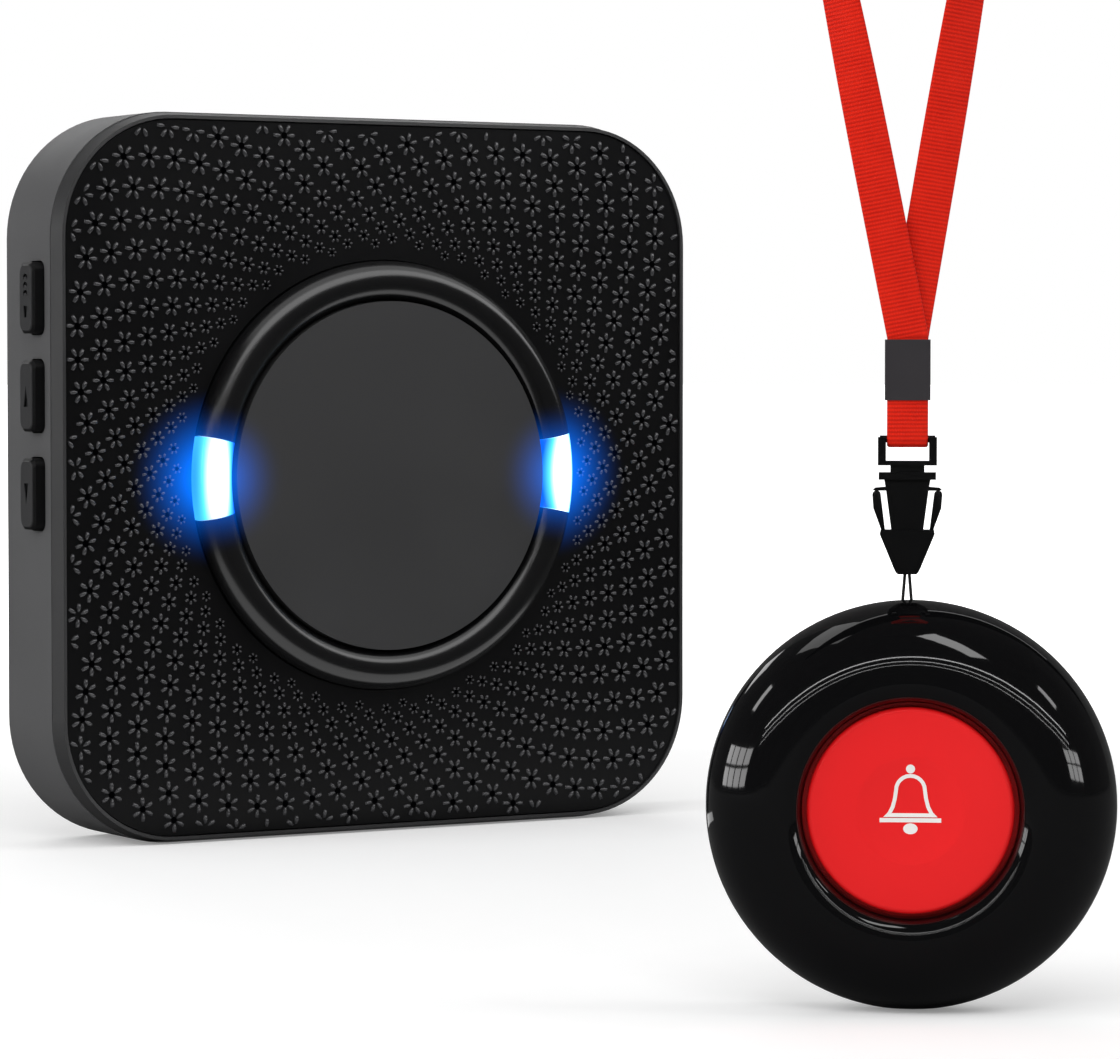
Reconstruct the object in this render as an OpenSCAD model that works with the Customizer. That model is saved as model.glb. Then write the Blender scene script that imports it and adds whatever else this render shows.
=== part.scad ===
// Caregiver pager: a plug-in receiver, a call pendant and its lanyard.
// Millimetres, +Z up. The origin is the middle of the receiver's flat base.
// The receiver faces -Y. The pendant stands on its rim in front of it, under its taut lanyard.

/* [Receiver] */
// Width and height of the square receiver
receiver_size = 110; // [106:1:118]
// Radius of its four corners
corner_radius = 19; // [16:0.5:22]
// Depth of the rear shell's side wall
shell_depth = 15.5; // [15:0.5:19]
// Thickness of the moulded walls
wall = 2.2; // [1.8:0.1:2.6]
// Depth of the front frame's leaning band
frame_depth = 3; // [2.6:0.1:3.6]
// How far the band leans in towards the front
frame_lean = 0.5; // [0.3:0.1:1.8]
// Step from the shell's side to the band
frame_step = 0.1; // [0.1:0.1:0.6]
// Width of the lip round the panel
frame_lip = 0.5; // [0.4:0.1:2]
// Thickness of the front panel
panel_thick = 1.5; // [1.2:0.1:1.8]
// How far the panel's face lies behind the lip
panel_set_back = 0.3; // [0.1:0.1:0.5]

/* [Ring and light windows] */
// Outer radius of the ring
ring_radius = 33; // [30:0.5:36]
// Width of the ring's round bead
ring_width = 6; // [5:0.5:7]
// Height of the bead above the panel
ring_height = 3.5; // [3.2:0.1:4.5]
// How far the disc's face lies below the bead
disc_drop = 0.9; // [0.4:0.1:1.4]
// Angle that each light window takes of the ring
window_angle = 22; // [16:1:30]

/* [Side buttons] */
// Height of a side button
button_height = 10.6; // [9:0.2:12]
// Width of a side button, front to back
button_width = 4.9; // [4:0.1:5.4]
// How far a side button stands out of the wall
button_stand = 1.9; // [1.4:0.1:2.4]
// Distance between the middles of two side buttons
button_pitch = 14.6; // [14:0.2:16]
// Height of the middle button above the receiver's middle
button_rise = 12.4; // [8:0.2:14]
// Distance from the shell's front edge to the middle of a button
button_set_back = 4.65; // [4.4:0.05:5]
// Travel of a side button
button_travel = 0.8; // [0.4:0.1:0.8]

/* [Mains plug] */
// Width of a flat blade
blade_width = 6.3; // [6:0.1:6.4]
// Thickness of a flat blade
blade_thick = 1.5; // [1.4:0.05:1.6]
// Distance between the middles of the two blades
blade_pitch = 12.7; // [12:0.1:13]
// Length of a blade outside the boss
blade_length = 16; // [15:0.5:18]
// Width and height of the boss that carries the blades
boss_size = 34; // [30:1:38]
// How far the boss stands out of the back
boss_depth = 6; // [4:0.5:8]
// Height of the plug above the receiver's middle
plug_rise = 17; // [14:0.5:19]

/* [Pendant] */
// Diameter of the pendant
pendant_diameter = 46; // [45:0.5:49]
// Thickness of the pendant at its crest
pendant_thick = 14; // [13.6:0.1:15]
// Radius of the crest round the cap
crest_radius = 14.2; // [14:0.1:15]
// Diameter of the red call cap
cap_diameter = 23; // [22:0.5:23.5]
// Gap between the cap and its well
cap_gap = 0.5; // [0.3:0.1:0.6]
// Depth of the dish in the cap
dish_depth = 0.45; // [0.2:0.05:0.6]
// Diameter of the dish in the cap
dish_diameter = 12; // [10:0.5:14]
// Travel of the call cap
cap_travel = 0.8; // [0.4:0.1:0.8]
// Diameter of the coin cell
cell_diameter = 20; // [16:0.5:20]
// Thickness of the coin cell
cell_thick = 3.2; // [2.5:0.1:3.2]

/* [Lanyard] */
// Width of the ribbed strap
strap_width = 4.6; // [4.2:0.1:5]
// Thickness of the strap
strap_thick = 0.5; // [0.3:0.05:0.6]
// Length of the dark sleeve on the strap
sleeve_length = 6.8; // [5:0.2:9]
// Lean of the left strand from upright, in degrees
left_lean = 11.3; // [8:0.1:14]
// Lean of the right strand from upright, in degrees
right_lean = 9.5; // [8:0.1:14]
// Distance from the sleeve to the middle of the top arch
arch_distance = 72; // [60:1:90]
// Thickness of the thin cord
cord_thick = 0.36; // [0.3:0.02:0.4]
// Distance between the cord's two turns
cord_span = 6.8; // [6.6:0.1:8]

/* [Placing] */
// Pendant's place to the right of the receiver's middle
pendant_x = -40; // [-60:1:60]
// Pendant's place behind the receiver's middle
pendant_y = -205; // [-240:1:-120]
// Turn of the pendant towards the left
pendant_turn = 36; // [0:1:45]
// Sideways place of the lanyard on the pendant
lanyard_shift = -0.5; // [-1:0.1:1]

/* [Fits] */
// Gap between pieces that rest on each other
seat = 0.05; // [0.02:0.01:0.1]
// Gap at the seam between shell and frame
seam = 0.1; // [0.05:0.05:0.2]
// Gap round a piece that is set into another
inlay = 0.2; // [0.1:0.05:0.3]
// Gap round a button in its window
button_gap = 0.25; // [0.15:0.05:0.35]
// Gap round a pin, blade or screw in its hole
slip = 0.03; // [0.02:0.01:0.06]

/* [Hidden] */
$fn = 96;

// Receiver, front to back along Y
middle = receiver_size / 2;
shell_front = -shell_depth / 2;
shell_back = shell_depth / 2;
back_inner = shell_back - wall;
frame_back = shell_front - seam;
frame_front = frame_back - frame_depth;
panel_front = frame_front + panel_set_back;
plate_front = panel_front + panel_thick + seat;
side_inner = -middle + wall;

// Outlines of the front, as insets from the shell's outline
front_inset = frame_step + frame_lean;
recess_inset = front_inset + frame_lip;
panel_inset = recess_inset + inlay;
skirt_inset = wall + inlay;
skirt_thick = 1.2;
skirt_reach = 0.9;

// Ring, windows and disc, as heights in front of the panel's face
bead_radius = ring_width / 2;
ring_middle = ring_radius - bead_radius;
ring_base = panel_front - plate_front + seat;
window_base = -0.9;
window_slit = 0.2;
disc_face = ring_height - disc_drop;
disc_radius = ring_radius - ring_width - inlay;
disc_thick = 1.6;
disc_skirt = 3;

// Main board and what it carries
board_thick = 1.6;
board_front = frame_back + 0.9;
board_back = board_front + board_thick;
board_width = receiver_size - 14;
board_height = 64;
led_radius = 2;
lamp_gap = 0.5;
led_top = panel_front - window_base + inlay;
board_post_x = board_width / 2 - 6;
board_post_z = board_height / 2 - 4;
chip_size = 12;
antenna_radius = 0.4;
antenna_x = board_width / 2 - 2.4;
antenna_y = board_back + 2.2;
antenna_reach = 9.6;
antenna_rise = 24;
antenna_length = 50;

// Side buttons and their switches
button_y = shell_front + button_set_back;
button_round = 1.2;
button_edge = 0.5;
flange_lap = 1;
flange_front = side_inner + seam;
flange_thick = 1;
stem_end = flange_front + flange_thick + 2.1;
stem_radius = 1.2;
plunger_radius = 0.9;
plunger_length = 2.6;
plunger_gap = 0.15;
switch_front = stem_end + button_travel + seam;
switch_length = 3.8;
switch_height = 6;
switch_depth = 2 * (button_y - board_back - seat);
mark_depth = 0.3;

// Screw posts in the four corners
post_place = middle - 13;
post_radius = 4.2;
frame_post_radius = 3;
post_meet = -0.5;
screw_radius = 1.25;
head_radius = 2.4;
head_thick = 1.8;
head_seat = shell_back - 3;
drive_depth = 0.9;
drive_length = 2.6;
drive_width = 0.6;

// Mains plug, power board and speaker
plug_z = middle + plug_rise;
power_back = back_inner - 0.9;
power_front = power_back - board_thick;
power_width = 46;
power_height = 30;
tail_end = power_front - 0.6;
speaker_z = 30;
speaker_radius = 18;
speaker_back = back_inner - seam;
basket_depth = 5;
cone_travel = 0.3;
cone_rim = cone_travel + inlay;
cone_radius = speaker_radius - 5.7;
dust_cap_radius = 4;
coil_radius = 3.6;
coil_wall = 0.6;
magnet_radius = 10;
magnet_depth = 4;

// Pendant, as heights from its flat back towards the front
pendant_radius = pendant_diameter / 2;
dome_radius = pendant_radius - crest_radius;
rim_height = pendant_thick - dome_radius;
back_radius = pendant_radius - rim_height;
cap_radius = cap_diameter / 2;
well_radius = cap_radius + cap_gap;
lip_radius = crest_radius - well_radius;
lip_under = pendant_thick - lip_radius - 1.9;
shell_wall = 1.8;
cover_radius = back_radius - 0.5;
cover_thick = 1.6;
gasket_thick = 0.3;
ledge_height = cover_thick + gasket_thick + 2 * seat;
ledge_thick = 0.6;
ledge_radius = cover_radius - 1.1;
clip_height = cover_thick + 0.15;
clip_thick = 0.25;
cell_height = clip_height + clip_thick + 0.1;
card_back = cell_height + cell_thick + 0.3;
card_thick = 1;
card_front = card_back + card_thick;
card_radius = ledge_radius - 0.3;
back_post_place = card_radius - 1.3;
back_post_radius = 1.2;
back_screw_radius = 0.8;
back_head_radius = 1.5;

// Call cap over its switch
cap_top = pendant_thick - 1.6;
cap_flange_top = lip_under - seam;
cap_flange_thick = 1;
cap_flange_radius = well_radius + 0.9;
cap_skin = 1.5;
cap_edge = 0.6;
key_top = cap_flange_top - 0.8;
key_length = 1.4;
key_radius = 1.5;
call_switch_top = key_top - cap_travel + seam;
seal_top = cap_flange_top - cap_flange_thick - cap_travel - seam;
dish_radius = (dish_diameter * dish_diameter / 4 + dish_depth * dish_depth) / (2 * dish_depth);

// Cord slot in the rim, in the pendant's own axes
slot_front = 0.6;
slot_back = 3.2;
slot_half = 3.2;
slot_floor = pendant_radius + back_radius + 0.8;
cord_y = (slot_front + slot_back) / 2;
pin_radius = 0.45;
pin_z = pendant_radius + back_radius + 2.6;
pin_front = -0.3;
pin_back = 4.2;

// Buckle, as heights above the socket's nose
eye_z = pin_z + cord_span;
eye_height = 1.4;
nose_z = eye_z - eye_height;
eye_radius = 0.18;
socket_top = 4.95;
pocket_floor = 2.75;
tongue_gap = 0.15;
socket_thick = 2.8;
tongue_thick = 1.6;
bar_height = 15.15;
bar_radius = 0.4;
frame_half = 3.3;
window_half = strap_width / 2 + 0.12;
arm_turn = [3.45, 8.9];
arm_round = 0.35;

// Strap, as heights above the floor
layer = strap_thick / 2 + 0.1;
bar_z = nose_z + bar_height;
sleeve_bottom = bar_z + 4.35;
sleeve_top = sleeve_bottom + sleeve_length;
sleeve_wall = 0.2;
fold_lead = 0.4;
strand_start = sleeve_top + 0.3;
strap_end = sleeve_bottom + sleeve_length / 2;
fan_half = (left_lean + right_lean) / 2;
fan_turn = (left_lean - right_lean) / 2;
arch_radius = arch_distance * sin(fan_half);
strand_length = arch_distance * cos(fan_half);

// A shape drawn in X and Z, filled from y0 to y1
module slab(y0, y1) {
  translate([0, y1, 0])
    rotate([90, 0, 0])
      linear_extrude(y1 - y0)
        children();
}

// A shape drawn in Y and Z, filled from x0 to x1
module side_slab(x0, x1) {
  translate([x0, 0, 0])
    rotate([90, 0, 90])
      linear_extrude(x1 - x0)
        children();
}

// A round bar along Y from y0 to y1
module round_y(radius, y0, y1) {
  slab(y0, y1) circle(radius);
}

// A square with round corners about its middle
module rounded(width, height, radius) {
  square([width - 2 * radius, height], center = true);
  square([width, height - 2 * radius], center = true);
  for (x = [-1, 1], y = [-1, 1])
    translate([x * (width / 2 - radius), y * (height / 2 - radius)])
      circle(radius);
}

// The receiver's outline, drawn in by an inset
module receiver_outline(inset) {
  translate([0, middle])
    rounded(receiver_size - 2 * inset, receiver_size - 2 * inset, corner_radius - inset);
}

// A profile of radius and height, turned about the receiver's middle in front of the panel
module turned_front(angle = 360) {
  translate([0, panel_front, middle])
    rotate([90, 0, 0])
      rotate([0, 0, angle < 360 ? -angle / 2 : 0])
        rotate_extrude(angle = angle)
          children();
}

// The four corner posts' places
module at_posts() {
  for (x = [-1, 1], z = [-1, 1])
    translate([x * post_place, 0, middle + z * post_place])
      children();
}

// One of the three side buttons' places, from the top
module at_button(step) {
  translate([0, button_y, middle + button_rise + (1 - step) * button_pitch])
    children();
}

module rear_shell() {
  color("#4d4d4f")
    difference() {
      union() {
        difference() {
          slab(shell_front, shell_back) receiver_outline(0);
          slab(shell_front - 1, back_inner) receiver_outline(wall);
        }
        slab(back_inner, shell_back + boss_depth)
          translate([0, plug_z])
            rounded(boss_size, boss_size, 5);
        at_posts() round_y(post_radius, post_meet, back_inner + 0.5);
        slab(speaker_back - 2, back_inner + 0.5)
          translate([0, speaker_z])
            difference() {
              circle(speaker_radius + 1.6);
              circle(speaker_radius + inlay);
            }
        for (x = [-1, 1], z = [-1, 1])
          translate([x * (power_width / 2 - 3), 0, plug_z + z * (power_height / 2 - 3)])
            round_y(1.5, power_back + seat, back_inner + 0.5);
      }
      for (step = [0 : 2])
        at_button(step)
          side_slab(-middle - 1, side_inner + 1)
            rounded(button_width + 2 * button_gap, button_height + 2 * button_gap,
              button_round + button_gap);
      at_posts() {
        round_y(screw_radius + 0.15, post_meet - 1, shell_back + 1);
        round_y(head_radius + 0.3, head_seat, shell_back + 1);
      }
      for (x = [-1, 1])
        translate([x * blade_pitch / 2, 0, plug_z])
          slab(back_inner - 1, shell_back + boss_depth + 1)
            square([blade_thick + 2 * slip, blade_width + 2 * slip], center = true);
      slab(back_inner - 0.5, shell_back + 1)
        translate([0, speaker_z])
          intersection() {
            circle(speaker_radius - 4.5);
            for (row = [-3 : 3])
              translate([0, row * 3.6])
                square([40, 1.6], center = true);
          }
    }
}

// The frame's outside: flat sides that lean in towards the front, joined by round corners
module leaning_block() {
  straight = middle - corner_radius;
  back_half = middle - frame_step;
  front_half = middle - front_inset;
  translate([0, 0, middle]) {
    side_slab(-straight, straight)
      polygon([[frame_back, -back_half], [frame_back, back_half],
        [frame_front, front_half], [frame_front, -front_half]]);
    translate([0, 0, -straight])
      linear_extrude(2 * straight)
        polygon([[-back_half, frame_back], [back_half, frame_back],
          [front_half, frame_front], [-front_half, frame_front]]);
    for (x = [-1, 1], z = [-1, 1])
      translate([x * straight, frame_back, z * straight])
        rotate([90, 0, 0])
          cylinder(r1 = corner_radius - frame_step, r2 = corner_radius - front_inset, h = frame_depth);
  }
}

module front_frame() {
  color("#3a3a3c")
    difference() {
      union() {
        difference() {
          leaning_block();
          slab(frame_front - 1, plate_front) receiver_outline(recess_inset);
        }
        slab(frame_back - 0.3, shell_front + skirt_reach)
          difference() {
            receiver_outline(skirt_inset);
            receiver_outline(skirt_inset + skirt_thick);
          }
        at_posts() round_y(frame_post_radius, frame_back - 0.3, post_meet - seam);
        for (x = [-1, 1], z = [-1, 1])
          translate([x * board_post_x, 0, middle + z * board_post_z])
            round_y(2, frame_back - 0.3, board_front - seat);
      }
      translate([0, 0, middle])
        round_y(disc_radius - disc_skirt - 2, frame_front - 1, frame_back + 0.5);
      for (x = [-1, 1])
        translate([x * ring_middle, 0, middle])
          round_y(led_radius + lamp_gap, frame_front - 1, frame_back + 0.5);
      at_posts() round_y(screw_radius + slip, frame_back + 0.6, 0);
    }
}

module front_panel() {
  color("#1b1b1c")
    slab(panel_front, panel_front + panel_thick)
      difference() {
        receiver_outline(panel_inset);
        translate([0, middle]) circle(ring_radius + inlay);
      }
}

// The bead's profile, from its seat on the plate to its round crest
module bead_profile() {
  intersection() {
    translate([ring_middle, ring_height - bead_radius]) circle(bead_radius);
    translate([ring_radius - ring_width, ring_height - bead_radius]) square([ring_width, bead_radius]);
  }
  translate([ring_radius - ring_width, ring_base])
    square([ring_width, ring_height - bead_radius - ring_base]);
}

// The room of a light window in the ring, down to a thin base that lets the lamp through
module window_room() {
  turned_front(window_angle + 2 * window_slit)
    translate([ring_radius - ring_width - 1, window_base - seat])
      square([ring_width + 2, 10]);
  translate([ring_middle, 0, middle])
    round_y(led_radius + lamp_gap, panel_front, plate_front + 1);
}

module trim_ring() {
  color("#0c0c0d")
    difference() {
      turned_front() bead_profile();
      window_room();
      mirror([1, 0, 0]) window_room();
    }
}

// A light window: the same bead above the lamp's head
module light_window() {
  turned_front(window_angle)
    intersection() {
      bead_profile();
      translate([0, window_base]) square([ring_radius + 1, 10]);
    }
}

module right_light_window() {
  color("#dff4ff") light_window();
}

module left_light_window() {
  color("#dff4ff") mirror([1, 0, 0]) light_window();
}

module centre_disc() {
  color("#343436")
    turned_front() {
      translate([0, disc_face - disc_thick]) square([disc_radius, disc_thick]);
      translate([disc_radius - disc_skirt, ring_base])
        square([disc_skirt - 0.4, disc_face - ring_base - 0.5]);
    }
}

// A side button without its mark: key, flange behind the wall, and stem
module plain_button() {
  hull() {
    side_slab(-middle - button_stand, flange_front - button_stand)
      rounded(button_width - 2 * button_edge, button_height - 2 * button_edge, button_round);
    side_slab(-middle - button_stand + button_edge, flange_front)
      rounded(button_width, button_height, button_round);
  }
  side_slab(flange_front, flange_front + flange_thick)
    square([button_width + 2 * flange_lap, button_height + 2 * flange_lap], center = true);
  side_slab(flange_front, stem_end) circle(stem_radius);
}

// A mark cut into a button's face, drawn in Y and Z
module cut_mark() {
  side_slab(-middle - button_stand - 1, -middle - button_stand + mark_depth)
    children();
}

module volume_button() {
  color("#3c3c3e")
    at_button(0)
      difference() {
        plain_button();
        cut_mark() {
          polygon([[-0.4, -2.9], [0.4, -2.9], [0.75, -1.2], [-0.75, -1.2]]);
          for (rise = [0.1, 1.3, 2.5])
            translate([0, rise])
              intersection() {
                difference() {
                  circle(1.1);
                  circle(0.65);
                }
                translate([-0.75, 0.2]) square([1.5, 2]);
              }
        }
      }
}

module up_button() {
  color("#3c3c3e")
    at_button(1)
      difference() {
        plain_button();
        cut_mark() polygon([[-0.75, -1.6], [0.75, -1.6], [0, 1.6]]);
      }
}

module down_button() {
  color("#3c3c3e")
    at_button(2)
      difference() {
        plain_button();
        cut_mark() polygon([[-0.75, 1.6], [0, -1.6], [0.75, 1.6]]);
      }
}

// A switch plunger, which follows its button's stem
module side_plunger(step) {
  color("#d8d8d8")
    at_button(step)
      side_slab(stem_end + seat, stem_end + seat + plunger_length)
        circle(plunger_radius);
}

module volume_plunger() {
  side_plunger(0);
}

module up_plunger() {
  side_plunger(1);
}

module down_plunger() {
  side_plunger(2);
}

module side_switches() {
  color("#202022")
    for (step = [0 : 2])
      at_button(step)
        difference() {
          side_slab(switch_front, switch_front + switch_length)
            square([switch_depth, switch_height], center = true);
          side_slab(switch_front - 1, switch_front + switch_length - 0.4)
            circle(plunger_radius + plunger_gap);
        }
}

module main_board() {
  color("#1f5a36")
    slab(board_front, board_back)
      translate([0, middle])
        square([board_width, board_height], center = true);
}

module radio_module() {
  color("#b9bdc2")
    slab(board_back + seat, board_back + 2.4)
      translate([20, middle + 20])
        square([20, 15], center = true);
}

module main_chip() {
  color("#222224")
    slab(board_back + seat, board_back + 1.4)
      translate([-20, middle + 4])
        square(chip_size, center = true);
}

module antenna_wire() {
  color("#c98a4b") {
    translate([antenna_x - antenna_reach, 0, middle + antenna_rise])
      round_y(antenna_radius + 0.1, board_back + seat, antenna_y + 0.3);
    translate([0, antenna_y, middle + antenna_rise])
      side_slab(antenna_x - antenna_reach - antenna_radius, antenna_x + antenna_radius)
        circle(antenna_radius);
    translate([antenna_x, antenna_y, middle + antenna_rise - antenna_length])
      cylinder(r = antenna_radius, h = antenna_length + antenna_radius);
  }
}

module leds() {
  color("#eaf6ff")
    for (x = [-1, 1])
      translate([x * ring_middle, 0, middle])
        round_y(led_radius, led_top, board_front - seat);
}

module power_board() {
  color("#1f5a36")
    slab(power_front, power_back)
      translate([0, plug_z])
        difference() {
          square([power_width, power_height], center = true);
          for (x = [-1, 1])
            translate([x * blade_pitch / 2, 0])
              square([blade_thick + 2 * inlay, blade_width + 2 * inlay], center = true);
        }
}

module transformer() {
  color("#c9b23a")
    slab(power_front - 6.5, power_front - seat)
      translate([-15.5, plug_z])
        square([13, 16], center = true);
}

module bulk_capacitor() {
  color("#2a3550")
    translate([9, power_front - seat - 3.2, plug_z - 9])
      side_slab(0, 12)
        circle(3.2);
}

module plug_blades() {
  color("#c8a84a")
    for (x = [-1, 1])
      translate([x * blade_pitch / 2, 0, plug_z])
        difference() {
          slab(tail_end, shell_back + boss_depth + blade_length)
            square([blade_thick, blade_width], center = true);
          translate([0, shell_back + boss_depth + blade_length - 4.5, 0])
            side_slab(-blade_thick, blade_thick)
              circle(1.6);
        }
}

// Speaker, its cone open to the grille in the back
module at_speaker() {
  translate([0, speaker_back, speaker_z])
    rotate([90, 0, 0])
      rotate_extrude()
        children();
}

module speaker_basket() {
  color("#77797d")
    at_speaker() {
      translate([speaker_radius - 4, 0]) square([4, 1]);
      polygon([[speaker_radius - 4, 0], [speaker_radius - 2.5, 0],
        [magnet_radius, basket_depth - 1], [magnet_radius, basket_depth],
        [4, basket_depth], [4, basket_depth - 1], [magnet_radius - 1.5, basket_depth - 1]]);
    }
}

module speaker_cone() {
  color("#1d1d1f")
    at_speaker()
      polygon([[0, 1.8], [dust_cap_radius, 1.8], [cone_radius, cone_rim], [cone_radius, 0.8],
        [dust_cap_radius + 1, 2.5], [coil_radius, 2.8],
        [coil_radius, basket_depth - cone_travel - seam],
        [coil_radius - coil_wall, basket_depth - cone_travel - seam],
        [coil_radius - coil_wall, 2.4], [0, 2.4]]);
}

module speaker_magnet() {
  color("#8e9196")
    at_speaker()
      translate([0, basket_depth + seat])
        square([magnet_radius, magnet_depth]);
}

module housing_screws() {
  color("#a9acb0")
    at_posts()
      difference() {
        union() {
          round_y(screw_radius, frame_back + 1.2, head_seat + 0.3);
          round_y(head_radius, head_seat + seat, head_seat + head_thick);
        }
        slab(head_seat + head_thick - drive_depth, head_seat + head_thick + 1) {
          square([drive_length, drive_width], center = true);
          square([drive_width, drive_length], center = true);
        }
      }
}

// The pendant's own axes: X to its right, Y to its back, Z up from the floor
module at_pendant() {
  translate([pendant_x, pendant_y, 0])
    rotate([0, 0, -pendant_turn])
      children();
}

// A profile of radius and height from the back, turned about the pendant's middle
module turned_pendant() {
  at_pendant()
    translate([0, rim_height, pendant_radius])
      rotate([90, 0, 0])
        rotate_extrude()
          children();
}

// A straight bar of the pendant from height h0 to h1, at a radius and an angle
module pendant_bar(radius, h0, h1, place = 0, angle = 0) {
  at_pendant()
    translate([place * cos(angle), 0, pendant_radius + place * sin(angle)])
      round_y(radius, rim_height - h1, rim_height - h0);
}

// The pendant's outside: flat back, round rim, dome, crest and the bowl's lip
module pendant_outline() {
  square([back_radius, rim_height]);
  intersection() {
    translate([back_radius, rim_height]) circle(rim_height);
    translate([back_radius, 0]) square([rim_height, rim_height]);
  }
  intersection() {
    translate([crest_radius, rim_height]) circle(dome_radius);
    translate([crest_radius, rim_height]) square([dome_radius, dome_radius]);
  }
  translate([0, rim_height]) square([crest_radius, dome_radius - lip_radius]);
  intersection() {
    translate([crest_radius, pendant_thick - lip_radius]) circle(lip_radius);
    translate([well_radius, pendant_thick - lip_radius]) square([lip_radius, lip_radius]);
  }
}

// The pendant's inside: cover seat, ledge, round chamber and the cap's well
module pendant_hollow() {
  translate([0, -1]) square([cover_radius + inlay, 1 + ledge_height]);
  square([ledge_radius, ledge_height + ledge_thick + 0.5]);
  intersection() {
    union() {
      translate([crest_radius, rim_height]) circle(dome_radius - shell_wall);
      square([crest_radius, pendant_thick]);
    }
    translate([0, ledge_height + ledge_thick])
      square([pendant_radius, lip_under - ledge_height - ledge_thick]);
  }
  translate([0, lip_under - 1]) square([well_radius, pendant_thick]);
}

// The three screws' places round the pendant
module at_back_screws() {
  for (angle = [30, 150, 270])
    at_pendant()
      translate([back_post_place * cos(angle), 0, pendant_radius + back_post_place * sin(angle)])
        children();
}

module pendant_body() {
  color("#0b0b0c")
    difference() {
      union() {
        turned_pendant()
          difference() {
            pendant_outline();
            pendant_hollow();
          }
        intersection() {
          turned_pendant() pendant_outline();
          at_pendant()
            translate([lanyard_shift - slot_half - 1.4, pin_front - 0.6, slot_floor - 1])
              cube([2 * slot_half + 2.8, slot_back - pin_front + 2, 8]);
        }
        at_back_screws()
          round_y(back_post_radius, rim_height - lip_under - 0.5, rim_height - card_front - seat);
      }
      at_pendant() {
        translate([lanyard_shift - slot_half, slot_front, slot_floor])
          cube([2 * slot_half, slot_back - slot_front, 10]);
        translate([lanyard_shift, 0, pin_z])
          round_y(pin_radius + slip, pin_front - seat, rim_height + 1);
      }
      at_back_screws()
        round_y(back_screw_radius + slip, rim_height - lip_under, rim_height);
    }
}

module pendant_back() {
  color("#161617")
    difference() {
      turned_pendant() square([cover_radius, cover_thick]);
      at_back_screws() {
        round_y(back_screw_radius + 0.1, rim_height - cover_thick - 1, rim_height + 1);
        round_y(back_head_radius + 0.1, rim_height - 1, rim_height + 1);
      }
    }
}

module body_seal() {
  color("#5b5b5e")
    turned_pendant()
      translate([ledge_radius + 0.1, cover_thick + seat])
        square([cover_radius - ledge_radius - 0.2, gasket_thick]);
}

module back_screws() {
  color("#a9acb0")
    at_back_screws()
      difference() {
        union() {
          round_y(back_screw_radius, rim_height - lip_under + 0.3, rim_height - 0.7);
          round_y(back_head_radius, rim_height - 1 + seat, rim_height - 0.25);
        }
        slab(rim_height - 0.65, rim_height + 1) {
          square([1.8, 0.4], center = true);
          square([0.4, 1.8], center = true);
        }
      }
}

module pendant_board() {
  color("#1f5a36")
    difference() {
      turned_pendant() translate([0, card_back]) square([card_radius, card_thick]);
      at_back_screws()
        round_y(back_screw_radius + 0.15, rim_height - card_front - 1, rim_height - card_back + 1);
    }
}

module call_switch() {
  color("#202022")
    at_pendant()
      translate([0, 0, pendant_radius])
        slab(rim_height - call_switch_top, rim_height - card_front - seat)
          difference() {
            square([6, 6], center = true);
            circle(key_radius + plunger_gap);
          }
}

module call_plunger() {
  color("#d8d8d8")
    pendant_bar(key_radius, key_top - key_length, key_top);
}

module call_cap() {
  color("#d9232a")
    turned_pendant()
      difference() {
        union() {
          translate([0, cap_top - cap_skin]) square([cap_radius - cap_edge, cap_skin]);
          translate([cap_radius - 1.6, cap_flange_top - cap_flange_thick])
            square([1.6, cap_top - cap_edge - cap_flange_top + cap_flange_thick]);
          translate([cap_radius - cap_edge, cap_top - cap_edge]) circle(cap_edge);
          translate([cap_radius - 1.6, cap_flange_top - cap_flange_thick])
            square([cap_flange_radius - cap_radius + 1.6, cap_flange_thick]);
          translate([0, key_top + seat]) square([key_radius - 0.1, cap_top - key_top - 1]);
        }
        translate([0, cap_top + dish_radius - dish_depth]) circle(dish_radius, $fn = 360);
      }
}

module cap_seal() {
  color("#8c8c90")
    turned_pendant()
      translate([cap_radius - 1.3, card_front + seat])
        square([cap_flange_radius - cap_radius + 1, seal_top - card_front - seat]);
}

module coin_cell() {
  color("#c4c7cb")
    pendant_bar(cell_diameter / 2, cell_height, cell_height + cell_thick);
}

module battery_clip() {
  color("#b3b6ba")
    at_pendant()
      translate([0, 0, pendant_radius - 3]) {
        reach = cell_diameter / 2 + 0.4;
        translate([-reach, rim_height - clip_height - clip_thick, 0])
          cube([2 * reach, clip_thick, 6]);
        for (x = [-reach, reach - clip_thick])
          translate([x, rim_height - card_back + seat, 0])
            cube([clip_thick, card_back - clip_height - seat, 6]);
      }
}

module cord_pin() {
  color("#b3b6ba")
    at_pendant()
      translate([lanyard_shift, 0, pin_z])
        round_y(pin_radius, pin_front, pin_back);
}

// The lanyard's own axes: its middle line, in the plane of the cord
module at_lanyard() {
  at_pendant()
    translate([lanyard_shift, cord_y, 0])
      children();
}

// A skin over rings of points, closed into a loop or capped at both ends
module swept(rings, closed) {
  sides = len(rings[0]);
  count = len(rings);
  spans = closed ? count : count - 1;
  walls = [for (i = [0 : spans - 1], j = [0 : sides - 1], half = [0, 1])
    let (a = i * sides, b = ((i + 1) % count) * sides, k = (j + 1) % sides)
      half == 0 ? [a + j, a + k, b + k] : [a + j, b + k, b + j]];
  ends = closed ? [] : [[for (j = [sides - 1 : -1 : 0]) j],
    [for (j = [0 : sides - 1]) (count - 1) * sides + j]];
  polyhedron(points = [for (ring = rings) each ring], faces = concat(walls, ends));
}

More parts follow.
